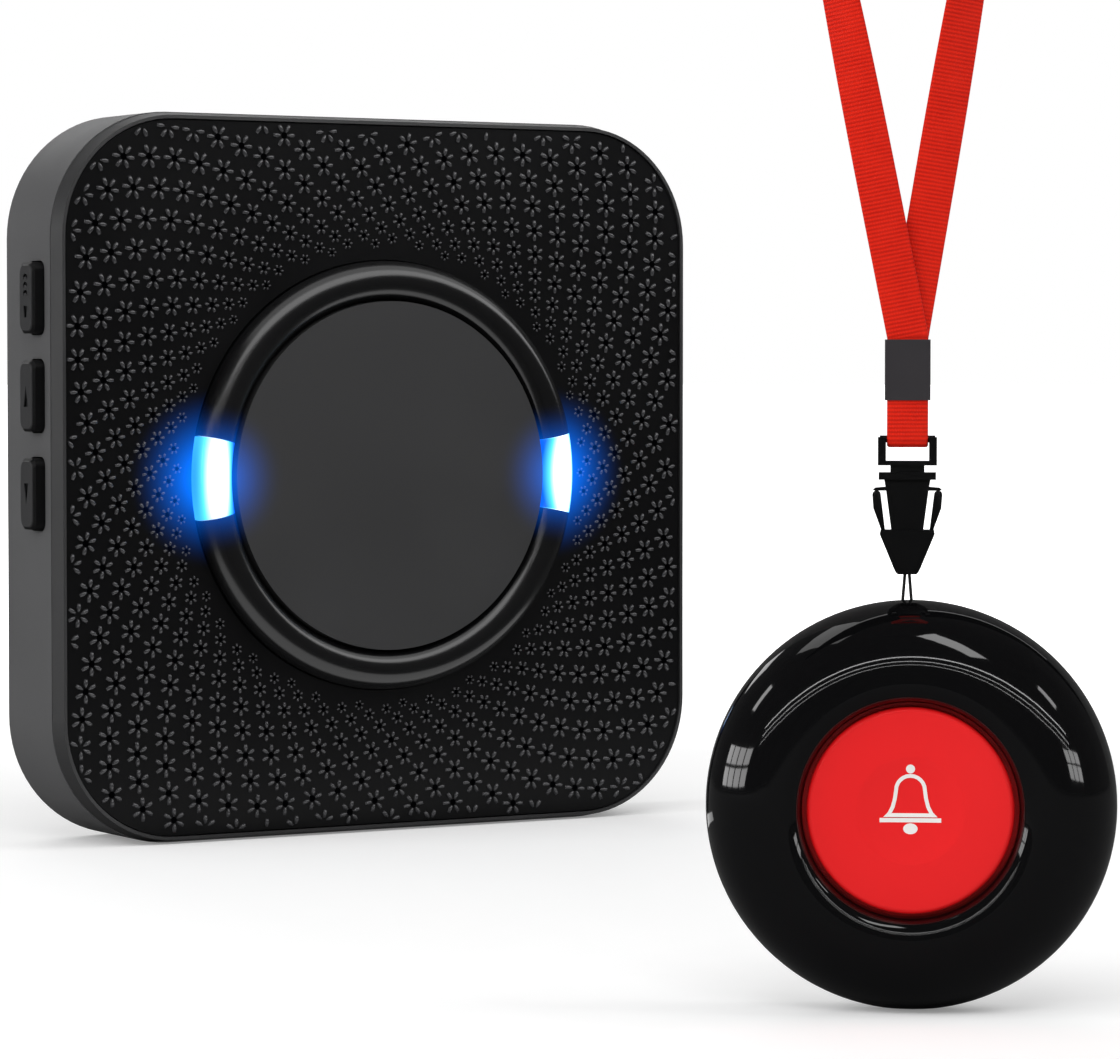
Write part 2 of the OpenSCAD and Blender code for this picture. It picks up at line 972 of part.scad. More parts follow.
// The thin cord: a long loop over the eye's bar and under the pendant's pin
pin_turn = pin_radius + seat + cord_thick / 2;
eye_turn = eye_radius + seat + cord_thick / 2;
cord_slope = asin((pin_turn - eye_turn) / cord_span);
cord_path = concat(
  [for (i = [0 : 8]) let (a = cord_slope + i * (180 - 2 * cord_slope) / 8)
    [eye_turn * cos(a), eye_z + eye_turn * sin(a), a]],
  [for (i = [0 : 10]) let (a = 180 - cord_slope + i * (180 + 2 * cord_slope) / 10)
    [pin_turn * cos(a), pin_z + pin_turn * sin(a), a]]);
cord_rings = [for (p = cord_path) [for (j = [0 : 7]) let (b = 45 * j, out = cord_thick / 2 * cos(b))
  [p[0] + out * cos(p[2]), cord_thick / 2 * sin(b), p[1] + out * sin(p[2])]]];

module cord_loop() {
  color("#101011")
    at_lanyard()
      swept(cord_rings, true);
}

// Right half of an outline with its mirror image on the left
function both_sides(points) = concat(points,
  [for (i = [len(points) - 1 : -1 : 0]) [-points[i][0], points[i][1]]]);

// Buckle outlines, as half width and height above the nose
socket_half = [[1, 0], [1.25, 0.2], [1.5, 0.7], [3.07, 4.5], [2.98, socket_top]];
tongue_half = [[1.3, 2.9], [1.72, 4.4], [2.4, 9.6], [2.6, 10.66]];
pocket_half = [[1.3 + tongue_gap, pocket_floor], [1.72 + tongue_gap, 4.4], [2.1, 6]];
shoulder_half = [[2.2, 9.37], [3.6, 9.37], [3.85, 9.45], [3.6, 9.68], [2.2, 9.8]];

module at_buckle(thick) {
  at_lanyard()
    translate([0, 0, nose_z])
      slab(-thick / 2, thick / 2)
        children();
}

module buckle_socket() {
  eye_slot = eye_turn + cord_thick / 2 + 0.12;
  color("#0f0f10") {
    difference() {
      at_buckle(socket_thick) polygon(both_sides(socket_half));
      at_buckle(tongue_thick + 2 * tongue_gap) polygon(both_sides(pocket_half));
      at_buckle(cord_thick + 0.5)
        polygon(both_sides([[eye_slot, -1], [eye_slot, 1.6], [eye_slot - 0.3, 2.2]]));
    }
    at_buckle(cord_thick + 0.8) translate([0, eye_height]) circle(eye_radius);
  }
}

module buckle_clip() {
  color("#0f0f10") {
    at_buckle(tongue_thick) {
      polygon(both_sides(tongue_half));
      polygon(both_sides(shoulder_half));
      translate([-1.9, 11]) square([3.8, 1.5]);
    }
    at_buckle(2.4) translate([-3.2, 10.6]) square([6.4, 0.8]);
    at_buckle(2)
      difference() {
        translate([-frame_half, 12.2]) square([2 * frame_half, bar_height + 0.2 - 12.2]);
        translate([-window_half, 12.7]) square([2 * window_half, 10]);
      }
    at_lanyard()
      translate([0, 0, bar_z])
        side_slab(-frame_half + 0.2, frame_half - 0.2)
          circle(bar_radius);
  }
}

// A squeeze arm's outline on the right, round where it hangs from the shoulder
module arm_outline() {
  polygon(concat([for (a = [0 : 15 : 180]) arm_turn + arm_round * [cos(a), sin(a)]],
    [[2.55, 5.1], [2.9, 5.1], [3.78, 7.4]]));
}

module right_buckle_arm() {
  color("#0f0f10")
    at_buckle(tongue_thick)
      arm_outline();
}

module left_buckle_arm() {
  color("#0f0f10")
    at_buckle(tongue_thick)
      mirror([1, 0])
        arm_outline();
}

// The strap's fold: two layers, straight in the sleeve and drawn round the clip's bar below it
module fold_outline(gap, top) {
  half = layer - strap_thick / 2 + gap;
  straight_from = sleeve_bottom - fold_lead;
  hull() {
    translate([0, bar_z]) circle(bar_radius + seat + gap, $fn = 32);
    translate([-half, straight_from]) square([2 * half, fold_lead / 2]);
  }
  translate([-half, straight_from]) square([2 * half, top - straight_from]);
}

module strap_fold() {
  color("#d8201f")
    at_lanyard()
      side_slab(-strap_width / 2, strap_width / 2)
        difference() {
          fold_outline(strap_thick, strap_end - inlay);
          fold_outline(0, strap_end + 1);
        }
}

module crimp_sleeve() {
  inner_x = strap_width / 2 + seat;
  inner_y = layer + strap_thick / 2 + seat;
  color("#3b3a3d")
    at_lanyard()
      translate([0, 0, sleeve_bottom])
        linear_extrude(sleeve_length)
          difference() {
            square([2 * (inner_x + sleeve_wall), 2 * (inner_y + sleeve_wall)], center = true);
            square([2 * inner_x, 2 * inner_y], center = true);
          }
}

// Strap route: points with their outward direction, depth and twist.
// It leaves the sleeve in front on the left, arches over, and comes back behind on the right.
left_out = [-cos(left_lean), -sin(left_lean)];
right_out = [cos(right_lean), -sin(right_lean)];
left_way = [-sin(left_lean), cos(left_lean)];
right_way = [sin(right_lean), cos(right_lean)];
arch_middle = arch_distance * [-sin(fan_turn), cos(fan_turn)];
straight_part = 12;
strand_steps = 9;
arch_steps = 18;

// Twist from facing front at the sleeve to lying flat over the arch
function strand_twist(along) =
  90 * pow(max(0, along - straight_part) / (strand_length - straight_part), 1.5);

strand_places = [for (i = [0 : strand_steps]) strand_length * i / strand_steps];
strap_route = concat(
  [[[0, strap_end - strand_start], left_out, -layer, 0],
    [[0, 0], left_out, -layer, 0]],
  [for (along = strand_places) if (along > 0)
    [along * left_way, left_out, -layer, strand_twist(along)]],
  [for (i = [1 : arch_steps - 1])
    let (part = i / arch_steps, a = 180 + left_lean - part * (180 + left_lean + right_lean))
      [arch_middle + arch_radius * [cos(a), sin(a)], [cos(a), sin(a)], layer * (2 * part - 1), 90]],
  [for (i = [strand_steps : -1 : 1])
    [strand_places[i] * right_way, right_out, layer, strand_twist(strand_places[i])]],
  [[[0, 0], right_out, layer, 0],
    [[0, strap_end - strand_start], right_out, layer, 0]]);

strap_half = strap_width / 2;
strap_side = strap_thick / 2;
strap_bevel = 0.12;
strap_section = [[strap_half, strap_side - strap_bevel], [strap_half - strap_bevel, strap_side],
  [strap_bevel - strap_half, strap_side], [-strap_half, strap_side - strap_bevel],
  [-strap_half, strap_bevel - strap_side], [strap_bevel - strap_half, -strap_side],
  [strap_half - strap_bevel, -strap_side], [strap_half, strap_bevel - strap_side]];

// One ring of the strap about a route point, square to the way it runs
function route_point(i) =
  [strap_route[i][0][0], strap_route[i][2], strap_route[i][0][1] + strand_start];
function route_way(i) =
  let (step = route_point(min(i + 1, len(strap_route) - 1)) - route_point(max(i - 1, 0)))
    step / norm(step);
function strap_ring(i) =
  let (out = strap_route[i][1], twist = strap_route[i][3], way = route_way(i),
    lean = [out[0] * sin(twist), -cos(twist), out[1] * sin(twist)],
    square_to = lean - way * (lean * way),
    face = square_to / norm(square_to),
    across = cross(way, face))
    [for (s = strap_section) route_point(i) + s[0] * across + s[1] * face];

module lanyard_strap() {
  color("#d8201f")
    at_lanyard()
      swept([for (i = [0 : len(strap_route) - 1]) strap_ring(i)], false);
}

rear_shell();
front_frame();
front_panel();
trim_ring();
left_light_window();
right_light_window();
centre_disc();
volume_button();
up_button();
down_button();
volume_plunger();
up_plunger();
down_plunger();
side_switches();
main_board();
radio_module();
main_chip();
antenna_wire();
leds();
power_board();
transformer();
bulk_capacitor();
plug_blades();
speaker_basket();
speaker_cone();
speaker_magnet();
housing_screws();
pendant_body();
pendant_back();
body_seal();
back_screws();
pendant_board();
call_switch();
call_plunger();
call_cap();
cap_seal();
coin_cell();
battery_clip();
cord_pin();
cord_loop();
buckle_socket();
buckle_clip();
left_buckle_arm();
right_buckle_arm();
strap_fold();
crimp_sleeve();
lanyard_strap();
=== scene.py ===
"""Caregiver pager: looks of the plug-in receiver, the call pendant and its lanyard."""
import math

import bmesh
import bpy
from mathutils import Euler, Matrix, Vector


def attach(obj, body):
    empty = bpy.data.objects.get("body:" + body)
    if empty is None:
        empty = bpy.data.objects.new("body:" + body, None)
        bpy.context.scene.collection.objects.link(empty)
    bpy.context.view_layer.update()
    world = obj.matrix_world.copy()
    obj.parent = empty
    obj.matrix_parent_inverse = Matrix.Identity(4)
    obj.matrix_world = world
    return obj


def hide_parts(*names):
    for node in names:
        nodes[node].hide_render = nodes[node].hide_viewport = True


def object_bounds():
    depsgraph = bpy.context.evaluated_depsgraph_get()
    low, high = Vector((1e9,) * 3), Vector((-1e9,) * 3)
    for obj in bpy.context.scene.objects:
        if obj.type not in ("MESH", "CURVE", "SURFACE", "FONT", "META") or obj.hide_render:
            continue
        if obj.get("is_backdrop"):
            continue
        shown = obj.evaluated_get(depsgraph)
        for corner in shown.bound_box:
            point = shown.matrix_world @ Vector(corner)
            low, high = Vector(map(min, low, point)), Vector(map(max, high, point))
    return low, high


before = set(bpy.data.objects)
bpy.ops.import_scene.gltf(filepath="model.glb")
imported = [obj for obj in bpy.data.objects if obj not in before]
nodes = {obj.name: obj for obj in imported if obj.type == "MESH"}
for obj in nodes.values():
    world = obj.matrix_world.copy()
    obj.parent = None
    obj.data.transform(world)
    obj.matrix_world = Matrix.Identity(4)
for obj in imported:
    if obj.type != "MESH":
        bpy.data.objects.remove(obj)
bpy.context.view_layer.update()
scene = bpy.context.scene
MM = 0.001

# Receiver sizes that the new pieces share with the solids, in millimetres
RECEIVER = 110.0
MIDDLE = RECEIVER / 2
PANEL_FRONT = -10.55
PANEL_HALF = 53.7
PANEL_CORNER = 17.7
WINDOW_REACH = 30.0
KEY_FACE = -56.9

# Pendant and lanyard sizes, in millimetres
PENDANT_RADIUS = 23.0
RIM_HEIGHT = 5.2
CAP_TOP = 12.4
DISH_SPHERE = 40.225
DISH_DEPTH = 0.45
PIN_Z = 43.4
EYE_Z = 50.2
BAR_Z = 63.95
NOSE_Z = 48.8
TONGUE_THICK = 1.6
ARM_TURN = (3.45, 8.9)
SLEEVE_BOTTOM = 68.3
STRAND_START = 75.4
STRAP_END = 71.7
LAYER = 0.35
LEFT_LEAN = 11.3
RIGHT_LEAN = 9.5
ARCH_DISTANCE = 72.0

# The pendant's own axes in the shared frame: X to its right, Y to its back, Z up
PENDANT_PLACE = (-0.040, -0.205, 0)
PENDANT_TURN = -36
LANYARD_SHIFT = (-0.0005, 0.0019, 0)
PENDANT = Matrix.Translation(PENDANT_PLACE) @ Matrix.Rotation(math.radians(PENDANT_TURN), 4, "Z")
LANYARD = PENDANT @ Matrix.Translation(LANYARD_SHIFT)

# The photograph's view: a long lens, nearly level, from about 31 degrees to the left
LENS = 141.9
SENSOR = 36
CAMERA_PLACE = (-0.3288, -0.60695, 0.0729)
CAMERA_DOWN = 2.21
CAMERA_TURN = -31.14

# Middle of the receiver and the pendant together, which the lamps face
SET_MIDDLE = (-0.01, -0.1, 0.06)

# A wave texture of scale 1 repeats at this length
WAVE_PERIOD = 0.314

# Share of a window card's pane that is bright, between its bars
PANE_SHARE = 0.86


# A display colour as the linear values that a shader takes
def colour(code):
    values = [int(code[i:i + 2], 16) / 255 for i in (1, 3, 5)]
    return [v / 12.92 if v <= 0.04045 else ((v + 0.055) / 1.055) ** 2.4 for v in values] + [1.0]


# Pattern scale that gives features of this size in millimetres
def per_mm(size):
    return 1 / (size * MM)


# Adds a node to a material with its settings and links
def add(material, kind, settings=None, links=None, **options):
    tree = material.node_tree
    node = tree.nodes.new(kind)
    for name, value in options.items():
        setattr(node, name, value)
    for name, value in (settings or {}).items():
        node.inputs[name].default_value = value
    for name, source in (links or {}).items():
        tree.links.new(source, node.inputs[name])
    return node


# A new material with its main shader
def new_material(name, **settings):
    material = bpy.data.materials.new(name)
    material.use_nodes = True
    shader = material.node_tree.nodes["Principled BSDF"]
    for key, value in settings.items():
        shader.inputs[key.replace("_", " ")].default_value = value
    return material, shader


# Camera at the photograph's place
def make_camera():
    data = bpy.data.cameras.new("photo_camera")
    data.lens = LENS
    data.sensor_width = SENSOR
    camera = bpy.data.objects.new("photo_camera", data)
    camera.location = CAMERA_PLACE
    camera.rotation_euler = (math.radians(90 - CAMERA_DOWN), 0, math.radians(CAMERA_TURN))
    scene.collection.objects.link(camera)
    scene.camera = camera


# The vertices among what an operator made
def made_verts(geom):
    return [item for item in geom if isinstance(item, bmesh.types.BMVert)]


# Points of an arc round a centre, at angles in degrees
def arc(x, z, radius, angles):
    turns = [math.radians(angle) for angle in angles]
    return [(x + radius * math.cos(turn), z + radius * math.sin(turn)) for turn in turns]


# Turns a bmesh into a smooth-shaded piece that rides on a body
def make_piece(name, bm, material, body, sharp=35):
    mesh = bpy.data.meshes.new(name)
    bm.to_mesh(mesh)
    bm.free()
    mesh.shade_smooth()
    mesh.set_sharp_from_angle(angle=math.radians(sharp))
    mesh.materials.append(material)
    piece = bpy.data.objects.new(name, mesh)
    scene.collection.objects.link(piece)
    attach(piece, body)
    return piece


# A skin drawn along stations of centre, across and face directions, with a UV map in millimetres
def sweep(stations, section, closed=False):
    bm = bmesh.new()
    place = bm.verts.layers.int.new("place")
    row = bm.verts.layers.int.new("row")
    around = [0.0]
    for a, b in zip(section, section[1:] + section[:1]):
        around.append(around[-1] + math.hypot(b[0] - a[0], b[1] - a[1]))
    along = [0.0]
    for a, b in zip(stations, stations[1:]):
        along.append(along[-1] + (b[0] - a[0]).length)

    def spot(i, j):
        centre, across, face, swell = stations[i]
        return (centre + across * section[j][0] + face * (section[j][1] * swell)) * MM

    start = []
    for j in range(len(section)):
        vert = bm.verts.new(spot(0, j))
        vert[place] = j
        start.append(vert)
    first = [bm.edges.new((start[j - 1], start[j])) for j in range(len(section))]
    edges = first
    for i in range(1, len(stations)):
        made = bmesh.ops.extrude_edge_only(bm, edges=edges)["geom"]
        for vert in made_verts(made):
            vert[row] = i
            vert.co = spot(i, vert[place])
        edges = [edge for edge in made if isinstance(edge, bmesh.types.BMEdge)
                 and edge.verts[0][row] == i and edge.verts[1][row] == i]
    uv = bm.loops.layers.uv.new("strip")
    for patch in bm.faces:
        wraps = {loop.vert[place] for loop in patch.loops} == {0, len(section) - 1}
        for loop in patch.loops:
            j = loop.vert[place]
            turn = around[-1] if wraps and j == 0 else around[j]
            loop[uv].uv = (turn, along[loop.vert[row]])
    if closed:
        bmesh.ops.bridge_loops(bm, edges=first + edges)
    else:
        bmesh.ops.holes_fill(bm, edges=bm.edges, sides=len(section))
    bmesh.ops.recalc_face_normals(bm, faces=bm.faces)
    return bm


# The webbing's rib spacing, thickness share in a groove and cross-section, in millimetres
RIB = 0.45
GROOVE = 0.84
STRAP_SECTION = [(2.3, 0), (2.23, 0.17), (2.02, 0.25), (0, 0.25), (-2.02, 0.25), (-2.23, 0.17),
                 (-2.3, 0), (-2.23, -0.17), (-2.02, -0.25), (0, -0.25), (2.02, -0.25), (2.23, -0.17)]


# Stations every half rib along a finely drawn line of centre and outward face, thinner in each groove
def webbing_stations(line):
    lengths = [0.0]
    for a, b in zip(line, line[1:]):
        lengths.append(lengths[-1] + (b[0] - a[0]).length)
    count = round(lengths[-1] / (RIB / 2))
    stations = []
    k = 0
    for i in range(count + 1):
        want = lengths[-1] * i / count
        while k < len(line) - 2 and lengths[k + 1] < want:
            k += 1
        part = (want - lengths[k]) / (lengths[k + 1] - lengths[k])
        centre = line[k][0].lerp(line[k + 1][0], part)
        face = line[k][1].lerp(line[k + 1][1], part)
        way = (line[k + 1][0] - line[k][0]).normalized()
        face = (face - way * face.dot(way)).normalized()
        stations.append((centre, way.cross(face), face, 1.0 if i % 2 else GROOVE))
    return stations


# The strap's line: up the left strand, over the arch, down the right strand behind it
def strap_line():
    fan_half = math.radians((LEFT_LEAN + RIGHT_LEAN) / 2)
    fan_turn = math.radians((LEFT_LEAN - RIGHT_LEAN) / 2)
    left, right = math.radians(LEFT_LEAN), math.radians(RIGHT_LEAN)
    radius = ARCH_DISTANCE * math.sin(fan_half)
    length = ARCH_DISTANCE * math.cos(fan_half)
    centre = (-ARCH_DISTANCE * math.sin(fan_turn), ARCH_DISTANCE * math.cos(fan_turn))
    straight = 12.0

    def station(x, z, out, depth, along):
        twist = math.radians(90) * (max(0, along - straight) / (length - straight)) ** 1.5
        face = Vector((out[0] * math.sin(twist), -math.cos(twist), out[1] * math.sin(twist)))
        return Vector((x, depth, z + STRAND_START)), face

    def strand(side, lean, depth):
        out = (side * math.cos(lean), -math.sin(lean))
        low = [station(0, STRAP_END - STRAND_START + 0.5 * i, out, depth, 0) for i in range(7)]
        up = [station(side * math.sin(lean) * s, math.cos(lean) * s, out, depth, s)
              for s in [length * i / 60 for i in range(61)]]
        return low + up

    arch = []
    for i in range(1, 60):
        turn = math.pi + left - i / 60 * (math.pi + left + right)
        out = (math.cos(turn), math.sin(turn))
        arch.append(station(centre[0] + radius * out[0], centre[1] + radius * out[1], out,
                            LAYER * (i / 30 - 1), length))
    return strand(-1, left, -LAYER) + arch + strand(1, right, LAYER)[::-1]


# The fold's line: down behind the sleeve's front wall, round the clip's bar and up again
def fold_line():
    turn_radius, tail, step = 0.7, 0.25, 0.45
    reach = math.acos(turn_radius / math.hypot(LAYER, SLEEVE_BOTTOM - BAR_Z))
    lift = reach + math.atan2(LAYER, SLEEVE_BOTTOM - BAR_Z)
    line = [(Vector((0, -LAYER, STRAP_END - tail - step * i)), Vector((0, -1, 0))) for i in range(7)]
    for i in range(41):
        angle = lift + (2 * math.pi - 2 * lift) * i / 40
        out = Vector((0, -math.sin(angle), math.cos(angle)))
        line.append((Vector((0, 0, BAR_Z)) + out * turn_radius, out))
    line += [(Vector((0, LAYER, STRAP_END - tail - step * i)), Vector((0, 1, 0)))
             for i in range(6, -1, -1)]
    return line


# Places a line of the lanyard's own axes into the shared frame, still in millimetres
def placed(line):
    turn = LANYARD.to_3x3()
    shift = LANYARD.translation / MM
    return [(turn @ centre + shift, turn @ face) for centre, face in line]


# Polyester grosgrain webbing: woven ribs across the strap, a soft sheen, and painted shade that darkens the
# grooves
def make_webbing():
    material, shader = new_material("polyester_grosgrain_woven", Roughness=0.62, Sheen_Weight=0.05,
                                    Sheen_Roughness=0.4, Specular_IOR_Level=0.1)
    strip = add(material, "ShaderNodeUVMap", uv_map="strip")
    # Yarns run along the strap every 0.3 mm, drawn coarser than real so that they show
    yarn = add(material, "ShaderNodeTexWave", {"Scale": WAVE_PERIOD / 0.3, "Distortion": 0.4, "Detail": 1.0},
               {"Vector": strip.outputs["UV"]}, bands_direction="X")
    rib = add(material, "ShaderNodeTexWave", {"Scale": WAVE_PERIOD / RIB, "Distortion": 0.5, "Detail": 1.0},
              {"Vector": strip.outputs["UV"]}, bands_direction="Y")
    soil = add(material, "ShaderNodeTexNoise", {"Scale": 0.35, "Detail": 4.0},
               {"Vector": strip.outputs["UV"]})
    weave = add(material, "ShaderNodeMath", None,
                {0: yarn.outputs["Fac"], 1: rib.outputs["Fac"]}, operation="MULTIPLY")
    # Painted shade: a darker red in the grooves between the ribs
    groove_shade = add(material, "ShaderNodeMix", {6: colour("#b01506"), 7: colour("#dc210d")},
                 {0: rib.outputs["Fac"]}, data_type="RGBA")
    share = add(material, "ShaderNodeMapRange", {"From Min": 0.35, "From Max": 0.75, "To Max": 0.35},
                {"Value": soil.outputs["Fac"]})
    worn = add(material, "ShaderNodeMix", {7: colour("#e42914")},
               {0: share.outputs["Result"], 6: groove_shade.outputs[2]}, data_type="RGBA")
    bump = add(material, "ShaderNodeBump", {"Strength": 0.5, "Distance": 0.05 * MM},
               {"Height": weave.outputs["Value"]})
    material.node_tree.links.new(worn.outputs[2], shader.inputs["Base Color"])
    material.node_tree.links.new(bump.outputs["Normal"], shader.inputs["Normal"])
    return material


# Painted light: blue emission on a surface that is no lamp, strongest near the nearer light window (by
# distance in the object's own axes) and fading out, standing in for the windows' light falling on it
def painted_window_spill(material, shader, coords, reach, strength):
    full_reach, falloff = 3.0, 2.6
    left = add(material, "ShaderNodeVectorMath", {1: (-WINDOW_REACH * MM, PANEL_FRONT * MM, MIDDLE * MM)},
               {0: coords.outputs["Object"]}, operation="DISTANCE")
    right = add(material, "ShaderNodeVectorMath", {1: (WINDOW_REACH * MM, PANEL_FRONT * MM, MIDDLE * MM)},
                {0: coords.outputs["Object"]}, operation="DISTANCE")
    near = add(material, "ShaderNodeMath", None, {0: left.outputs["Value"], 1: right.outputs["Value"]},
               operation="MINIMUM")
    fade = add(material, "ShaderNodeMapRange",
               {"From Min": reach * MM, "From Max": full_reach * MM, "To Min": 0.0, "To Max": 1.0},
               {"Value": near.outputs["Value"]})
    curve = add(material, "ShaderNodeMath", {1: falloff}, {0: fade.outputs["Result"]}, operation="POWER")
    level = add(material, "ShaderNodeMath", {1: strength}, {0: curve.outputs["Value"]},
                operation="MULTIPLY")
    shader.inputs["Emission Color"].default_value = colour("#0072ff")
    material.node_tree.links.new(level.outputs["Value"], shader.inputs["Emission Strength"])


# Moulded plastic: a little flow variation in tone and gloss over a fine spark-eroded grain, and where asked
# painted blue window light as emission
def moulded(name, light, dark, roughness, grain, depth, flow=18.0, painted_spill=None, **settings):
    material, shader = new_material(name, **settings)
    coords = add(material, "ShaderNodeTexCoord")
    grit = add(material, "ShaderNodeTexNoise", {"Scale": per_mm(grain), "Detail": 3.0, "Roughness": 0.6},
               {"Vector": coords.outputs["Object"]})
    clouds = add(material, "ShaderNodeTexNoise", {"Scale": per_mm(flow), "Detail": 4.0},
                 {"Vector": coords.outputs["Object"]})
    tone = add(material, "ShaderNodeMix", {6: colour(dark), 7: colour(light)}, {0: clouds.outputs["Fac"]},
               data_type="RGBA")
    gloss = add(material, "ShaderNodeMapRange", {"From Min": 0.3, "From Max": 0.7,
                                                 "To Min": roughness * 0.9, "To Max": roughness * 1.1},
                {"Value": clouds.outputs["Fac"]})
    bump = add(material, "ShaderNodeBump", {"Strength": 0.35, "Distance": depth * MM},
               {"Height": grit.outputs["Fac"]})
    material.node_tree.links.new(tone.outputs[2], shader.inputs["Base Color"])
    material.node_tree.links.new(gloss.outputs["Result"], shader.inputs["Roughness"])
    material.node_tree.links.new(bump.outputs["Normal"], shader.inputs["Normal"])
    # Painted light: blue window spill as emission
    if painted_spill:
        painted_window_spill(material, shader, coords, *painted_spill)
    return material


# Metal with fine marks of drawing or rolling along one direction
def worked_metal(name, light, dark, roughness, stretch, mark=0.25):
    material, shader = new_material(name, Metallic=1.0)
    coords = add(material, "ShaderNodeTexCoord")
    drawn = add(material, "ShaderNodeMapping", {"Scale": stretch}, {"Vector": coords.outputs["Object"]})
    marks = add(material, "ShaderNodeTexNoise", {"Scale": per_mm(mark), "Detail": 4.0},
                {"Vector": drawn.outputs["Vector"]})
    tone = add(material, "ShaderNodeMix", {6: colour(dark), 7: colour(light)}, {0: marks.outputs["Fac"]},
               data_type="RGBA")
    gloss = add(material, "ShaderNodeMapRange", {"To Min": roughness * 0.7, "To Max": roughness * 1.3},
                {"Value": marks.outputs["Fac"]})
    bump = add(material, "ShaderNodeBump", {"Strength": 0.15, "Distance": 0.02 * MM},
               {"Height": marks.outputs["Fac"]})
    material.node_tree.links.new(tone.outputs[2], shader.inputs["Base Color"])
    material.node_tree.links.new(gloss.outputs["Result"], shader.inputs["Roughness"])
    material.node_tree.links.new(bump.outputs["Normal"], shader.inputs["Normal"])
    return material


# Lit polycarbonate window: white-hot over the lamp, through cyan to blue at its ends and edges
def lit_window():
    hot_middle, hot_wide, hot_high = WINDOW_REACH + 0.2, 3.1, 13.0
    brightest, dimmest = 2.4, 1.1
    material, shader = new_material("polycarbonate_clear_moulded_lit", Roughness=0.25)
    coords = add(material, "ShaderNodeTexCoord")
    parts = add(material, "ShaderNodeSeparateXYZ", None, {"Vector": coords.outputs["Object"]})
    width = add(material, "ShaderNodeMath", None, {0: parts.outputs["X"]}, operation="ABSOLUTE")
    side = add(material, "ShaderNodeMath", {1: hot_middle * MM}, {0: width.outputs["Value"]},
               operation="SUBTRACT")
    rise = add(material, "ShaderNodeMath", {1: MIDDLE * MM}, {0: parts.outputs["Z"]}, operation="SUBTRACT")
    spot = add(material, "ShaderNodeCombineXYZ", None,
               {"X": side.outputs["Value"], "Y": rise.outputs["Value"]})
    scaled = add(material, "ShaderNodeVectorMath", {1: (per_mm(hot_wide), per_mm(hot_high), 1.0)},
                 {0: spot.outputs["Vector"]}, operation="MULTIPLY")
    far = add(material, "ShaderNodeVectorMath", None, {0: scaled.outputs["Vector"]}, operation="LENGTH")
    ramp = add(material, "ShaderNodeValToRGB", None, {"Fac": far.outputs["Value"]})
    stops = ramp.color_ramp
    stops.elements[0].position, stops.elements[0].color = 0.4, colour("#ffffff")
    stops.elements[1].position, stops.elements[1].color = 1.0, colour("#0a64ff")
    middle = stops.elements.new(0.72)
    middle.color = colour("#4fd2ff")
    level = add(material, "ShaderNodeMapRange",
                {"From Min": 0.2, "From Max": 1.0, "To Min": brightest, "To Max": dimmest},
                {"Value": far.outputs["Value"]})
    shader.inputs["Base Color"].default_value = colour("#103a78")
    material.node_tree.links.new(ramp.outputs["Color"], shader.inputs["Emission Color"])
    material.node_tree.links.new(level.outputs["Result"], shader.inputs["Emission Strength"])
    return material


# Satin key: a paler face, and painted near-black shade on everything deeper than 0.2 mm below it, down its
# walls and in the signs cut into it
def signed_key():
    edge_depth, sign_depth = 0.05, 0.2
    material = moulded("abs_satin_key", "#333334", "#2d2d2e", 0.45, 0.2, 0.02, Specular_IOR_Level=0.2)
    shader = material.node_tree.nodes["Principled BSDF"]
    coords = add(material, "ShaderNodeTexCoord")
    parts = add(material, "ShaderNodeSeparateXYZ", None, {"Vector": coords.outputs["Object"]})
    # Painted shade: black from 0.05 to 0.2 mm below the key's face and all deeper
    shade_depth = add(material, "ShaderNodeMapRange",
               {"From Min": (KEY_FACE + edge_depth) * MM, "From Max": (KEY_FACE + sign_depth) * MM},
               {"Value": parts.outputs["X"]})
    plain = shader.inputs["Base Color"].links[0].from_socket
    shade_filled = add(material, "ShaderNodeMix", {7: colour("#060607")}, {0: shade_depth.outputs["Result"], 6: plain},
                 data_type="RGBA")
    material.node_tree.links.new(shade_filled.outputs[2], shader.inputs["Base Color"])
    return material


# Glass-fibre board under solder mask, with copper tracks showing through as paler green
def masked_board():
    material, shader = new_material("glass_fibre_board_solder_masked", Roughness=0.35, Coat_Weight=0.3)
    coords = add(material, "ShaderNodeTexCoord")
    turned = add(material, "ShaderNodeMapping", {"Rotation": (math.radians(90), 0, 0)},
                 {"Vector": coords.outputs["Object"]})
    tracks = add(material, "ShaderNodeTexBrick", {"Color1": colour("#1f5a36"), "Color2": colour("#245f3b"),
                                                  "Mortar": colour("#3f8a55"), "Scale": per_mm(4.0),
                                                  "Mortar Size": 0.05},
                 {"Vector": turned.outputs["Vector"]})
    bump = add(material, "ShaderNodeBump", {"Strength": 0.3, "Distance": 0.03 * MM},
               {"Height": tracks.outputs["Fac"]})
    material.node_tree.links.new(tracks.outputs["Color"], shader.inputs["Base Color"])
    material.node_tree.links.new(bump.outputs["Normal"], shader.inputs["Normal"])
    return material


# How much wider a petal is at its outer end than in its middle
PETAL_FLARE = 0.5


# One raised petal: half of a low drop, wide at its outer end, flat underneath
def half_round(sides):
    bm = bmesh.new()
    bmesh.ops.create_uvsphere(bm, u_segments=sides, v_segments=4, radius=1.0)
    bmesh.ops.bisect_plane(bm, geom=bm.verts[:] + bm.edges[:] + bm.faces[:], plane_co=(0, 0, 0),
                           plane_no=(0, 0, 1), clear_inner=True)
    bmesh.ops.holes_fill(bm, edges=bm.edges, sides=sides)
    for vert in bm.verts:
        vert.co.y *= 1 + PETAL_FLARE * vert.co.x
    bmesh.ops.recalc_face_normals(bm, faces=bm.faces)
    return bm


